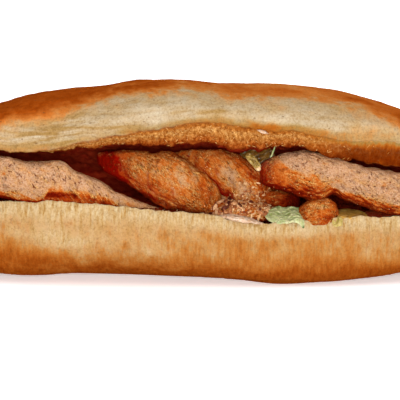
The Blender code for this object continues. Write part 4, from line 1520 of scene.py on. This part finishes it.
def slice_skin(name, radius, thick, place, turn, wobble=0.3, rings=60, sides=120):
    """A round slice with a soft rim; the place on it is stored, from 0 in the middle to 1 at the rim."""
    into = Matrix.LocRotScale(Vector(place), Euler([math.radians(angle) for angle in turn]), None)
    loops, owns = [], [Vector((0, 0, 0))]
    for ring in range(1, rings):
        angle = math.pi * ring / rings
        out = radius * math.sin(angle) ** SLICE_POWERS[0]
        up = thick / 2 * math.copysign(abs(math.cos(angle)) ** SLICE_POWERS[1], math.cos(angle))
        loop = []
        for i in range(sides):
            turned = math.tau * i / sides
            own = Vector((math.cos(turned) * out, math.sin(turned) * out, up))
            sunk = SLICE_DENT * lumps(own, SLICE_DENT_SIZE, radius) * fullness(out / radius, 8)
            own.z += wobble * lumps(own, 9, thick) + math.copysign(sunk, up)
            loop.append(into @ own)
            owns.append(own)
        loops.append(loop)
    owns.append(Vector((0, 0, 0)))
    tips = [into @ Vector((0, 0, side * thick / 2)) for side in (1, -1)]
    mesh = lofted(name, loops, *tips)
    mark_place(mesh, "grain", owns)
    mark(mesh, "out", [min(1.0, own.xy.length / radius) for own in owns])
    return mesh


# %% [markdown]
# ## Finishes of the vegetables
# Leaf, pickle, tomato and onion share one make-up: cloudy flesh, fine veins and a rim in the colour of
# the skin. Light goes a little way into them, which is what makes them look wet and fresh. So one
# function makes them all, the garlic sauce included, and each only gives its colours and sizes.

# %% Finishes of the vegetables


def wet_finish(name, stops, size, rough=0.3, tint=(0.6, 0.8, 0.3), edge=None, edge_from=0.86):
    """Something wet: cloudy colour, fine veins and a skin of another colour near its rim."""
    finish, tree, shader = new_finish(name, Specular_IOR_Level=0.5, Roughness=rough, Subsurface_Weight=0.2,
                                      Subsurface_Scale=0.002, Subsurface_Radius=tint)
    cloudy = clouds(tree, place_in(tree), size, 5.0, 0.6)
    paler = maths(tree, "MULTIPLY", stored(tree, "pale"), 0.18)
    colour = ramp(tree, maths(tree, "ADD", cloudy, paler), stops)
    if edge:
        colour = blended(tree, levels(tree, stored(tree, "out"), edge_from, edge_from + 0.1), colour, edge)
    veins = cells(tree, place_in(tree, (1, 1, 1), "grain"), 3.0, "DISTANCE_TO_EDGE")
    veins = levels(tree, veins, 0.0, 0.12, 1.0, 0.0)
    colour = blended(tree, maths(tree, "MULTIPLY", veins, 0.35), colour, rgb(*stops[-1][1:]))
    plug(tree, shader, Base_Color=colour)
    bumps(tree, shader, (cloudy, 0.6), (veins, 0.25))
    return finish


lettuce = wet_finish("lettuce", ((0.30, 92, 110, 44), (0.44, 138, 148, 88), (0.58, 172, 176, 124),
                                 (0.72, 196, 192, 148)), 3.2, edge=rgb(70, 86, 30), edge_from=0.48)
lime_leaf = wet_finish("lettuce_yellow", ((0.34, 136, 122, 40), (0.6, 180, 154, 84)), 2.5)
pickle = wet_finish("pickle", ((0.32, 54, 32, 4), (0.50, 92, 60, 10), (0.70, 140, 100, 32)), 2.4,
                    edge=rgb(104, 72, 18))
pickle_pale = wet_finish("pickle_pale", ((0.32, 144, 92, 26), (0.50, 178, 128, 46), (0.70, 202, 160, 84)),
                         2.4, edge=rgb(188, 144, 60))
tomato = wet_finish("tomato", ((0.32, 140, 26, 12), (0.52, 176, 54, 26), (0.70, 206, 104, 56)), 2.8,
                    tint=(1.0, 0.3, 0.15), edge=rgb(190, 84, 36))
onion = wet_finish("onion", ((0.34, 104, 74, 18), (0.50, 146, 116, 44), (0.68, 186, 156, 92)), 3.4,
                   tint=(1.0, 0.8, 0.4), edge=rgb(218, 186, 142), edge_from=0.34)
sauce = wet_finish("garlic_sauce", ((0.34, 176, 134, 98), (0.50, 190, 154, 124), (0.66, 214, 192, 168)), 1.6,
                   tint=(1.0, 0.8, 0.6), rough=0.4)

# %% Lettuce, onion, pickle, tomato


def lettuce_wave(u, v):
    """Ruffles of the leaf, with both ends and its front edge curled down."""
    ruffle = 0.6 * math.sin(8 * u + 0.4) * (0.7 - v) + 0.3 * math.sin(17 * u + 4 * v)
    ruffle -= 24 * max(0.0, u - 0.14) ** 2  # the right-hand end curls down
    ruffle -= 6 * max(0.0, -v - 0.22) ** 2 + 10 * max(0.0, -u - 0.25) ** 2
    return ruffle + 0.35 * lumps(Vector((u, v, 0)), 0.12, 3.0) + 0.15 * lumps(Vector((u, v, 0)), 0.05, 1.0)


def scrap_wave(u, v):
    """A small scrap, bent over its middle."""
    return 0.4 * math.sin(7 * u) - 1.5 * v * v + 0.25 * lumps(Vector((u, v, 0)), 0.2, 2.0)


def onion_arch(u, v):
    """A strip from a curved layer of onion, with its fine ribs."""
    return 1.2 * math.cos(3 * u) + 0.08 * math.sin(22 * v) + 0.9 * lumps(Vector((u, v, 0)), 0.22, 5.0)


place_piece("lettuce_leaf_skin", leaf_skin("lettuce", (21, 13.0), (37.4, -32.6, 30.0), (20, 3, -9), 0.8,
                                           lettuce_wave), lettuce, "lettuce", "lettuce_leaf")
place_piece("lettuce_scrap_skin", leaf_skin("scrap", (4.4, 4.6), (56.8, -37.0, 27.9), (52, 0, -12), 0.6,
                                            scrap_wave, (50, 60)), lime_leaf, "lettuce", "lettuce_scrap")
place_piece("onion_skin", leaf_skin("onion", (9, 3.4), (22.4, -24.3, 50.9), (70, 50, 0), 1.0,
                                    onion_arch, (70, 40)), onion, "onion", "onion_strip")
place_piece("pickle_top_skin", slice_skin("pickle_top", 8.5, 2.4, (24, -16.5, 49.5), (62, 0, -14)),
            pickle, "pickle", "pickle_slice_top")
place_piece("pickle_low_skin", slice_skin("pickle_low", 7.5, 2.4, (62.5, -27.8, 28.9), (5, 3, 0)),
            pickle_pale, "pickle", "pickle_slice_low")
place_piece("tomato_skin", slice_skin("tomato", 11.0, 2.0, (80, -20.6, 28.0), (4, -2, 0)),
            tomato, "tomato", "tomato_slice")

# %% [markdown]
# ## Garlic sauce, a sprig and a sliver
# A little garlic sauce has been pressed out between the heap and the lip. A tiny pale sprig stands by
# the upper pickle, and a sliver sticks to the torn edge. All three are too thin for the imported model, so
# they are only made here, as small bodies drawn out on spines of their own, the same way as the meat.

# %% Sauce, sprig and sliver
SAUCE = ((8, -35.6, 29.6, 0.5, 2.4), (12, -36.6, 29.7, 1.0, 3.5), (17, -37.0, 28.9, 1.1, 3.7),
         (22, -37.0, 27.9, 1.0, 3.6), (26.5, -36.0, 27.0, 0.5, 2.4))
SPRIG = ((29.2, -29.0, 53.6, 0.5, 0.4), (30.2, -29.4, 55.2, 0.9, 0.4), (31.4, -30.0, 58.6, 0.7, 0.3))
SLIVER = ((23.0, -39.6, 66.4, 0.4, 0.5), (25.5, -40.0, 65.6, 0.7, 0.6), (28.2, -39.6, 64.6, 0.4, 0.5))
SMALL_BODIES = (  # name, name of its mesh, spine, seed, unevenness, rings and points, finish, slot
    ("garlic_sauce_1", "sauce", SAUCE, 20, 0.5, (70, 50), sauce, "onion"),
    ("sprig", "sprig", SPRIG, 31, 0.1, (30, 20), lettuce, "lettuce"),
    ("pale_sliver", "sliver", SLIVER, 32, 0.1, (30, 20), sauce, "onion"),
)
for name, shape, spine, seed, uneven_by, size, finish, slot in SMALL_BODIES:
    place_piece(name, morsel(shape, spine, seed, uneven=uneven_by, size=size), finish, slot)
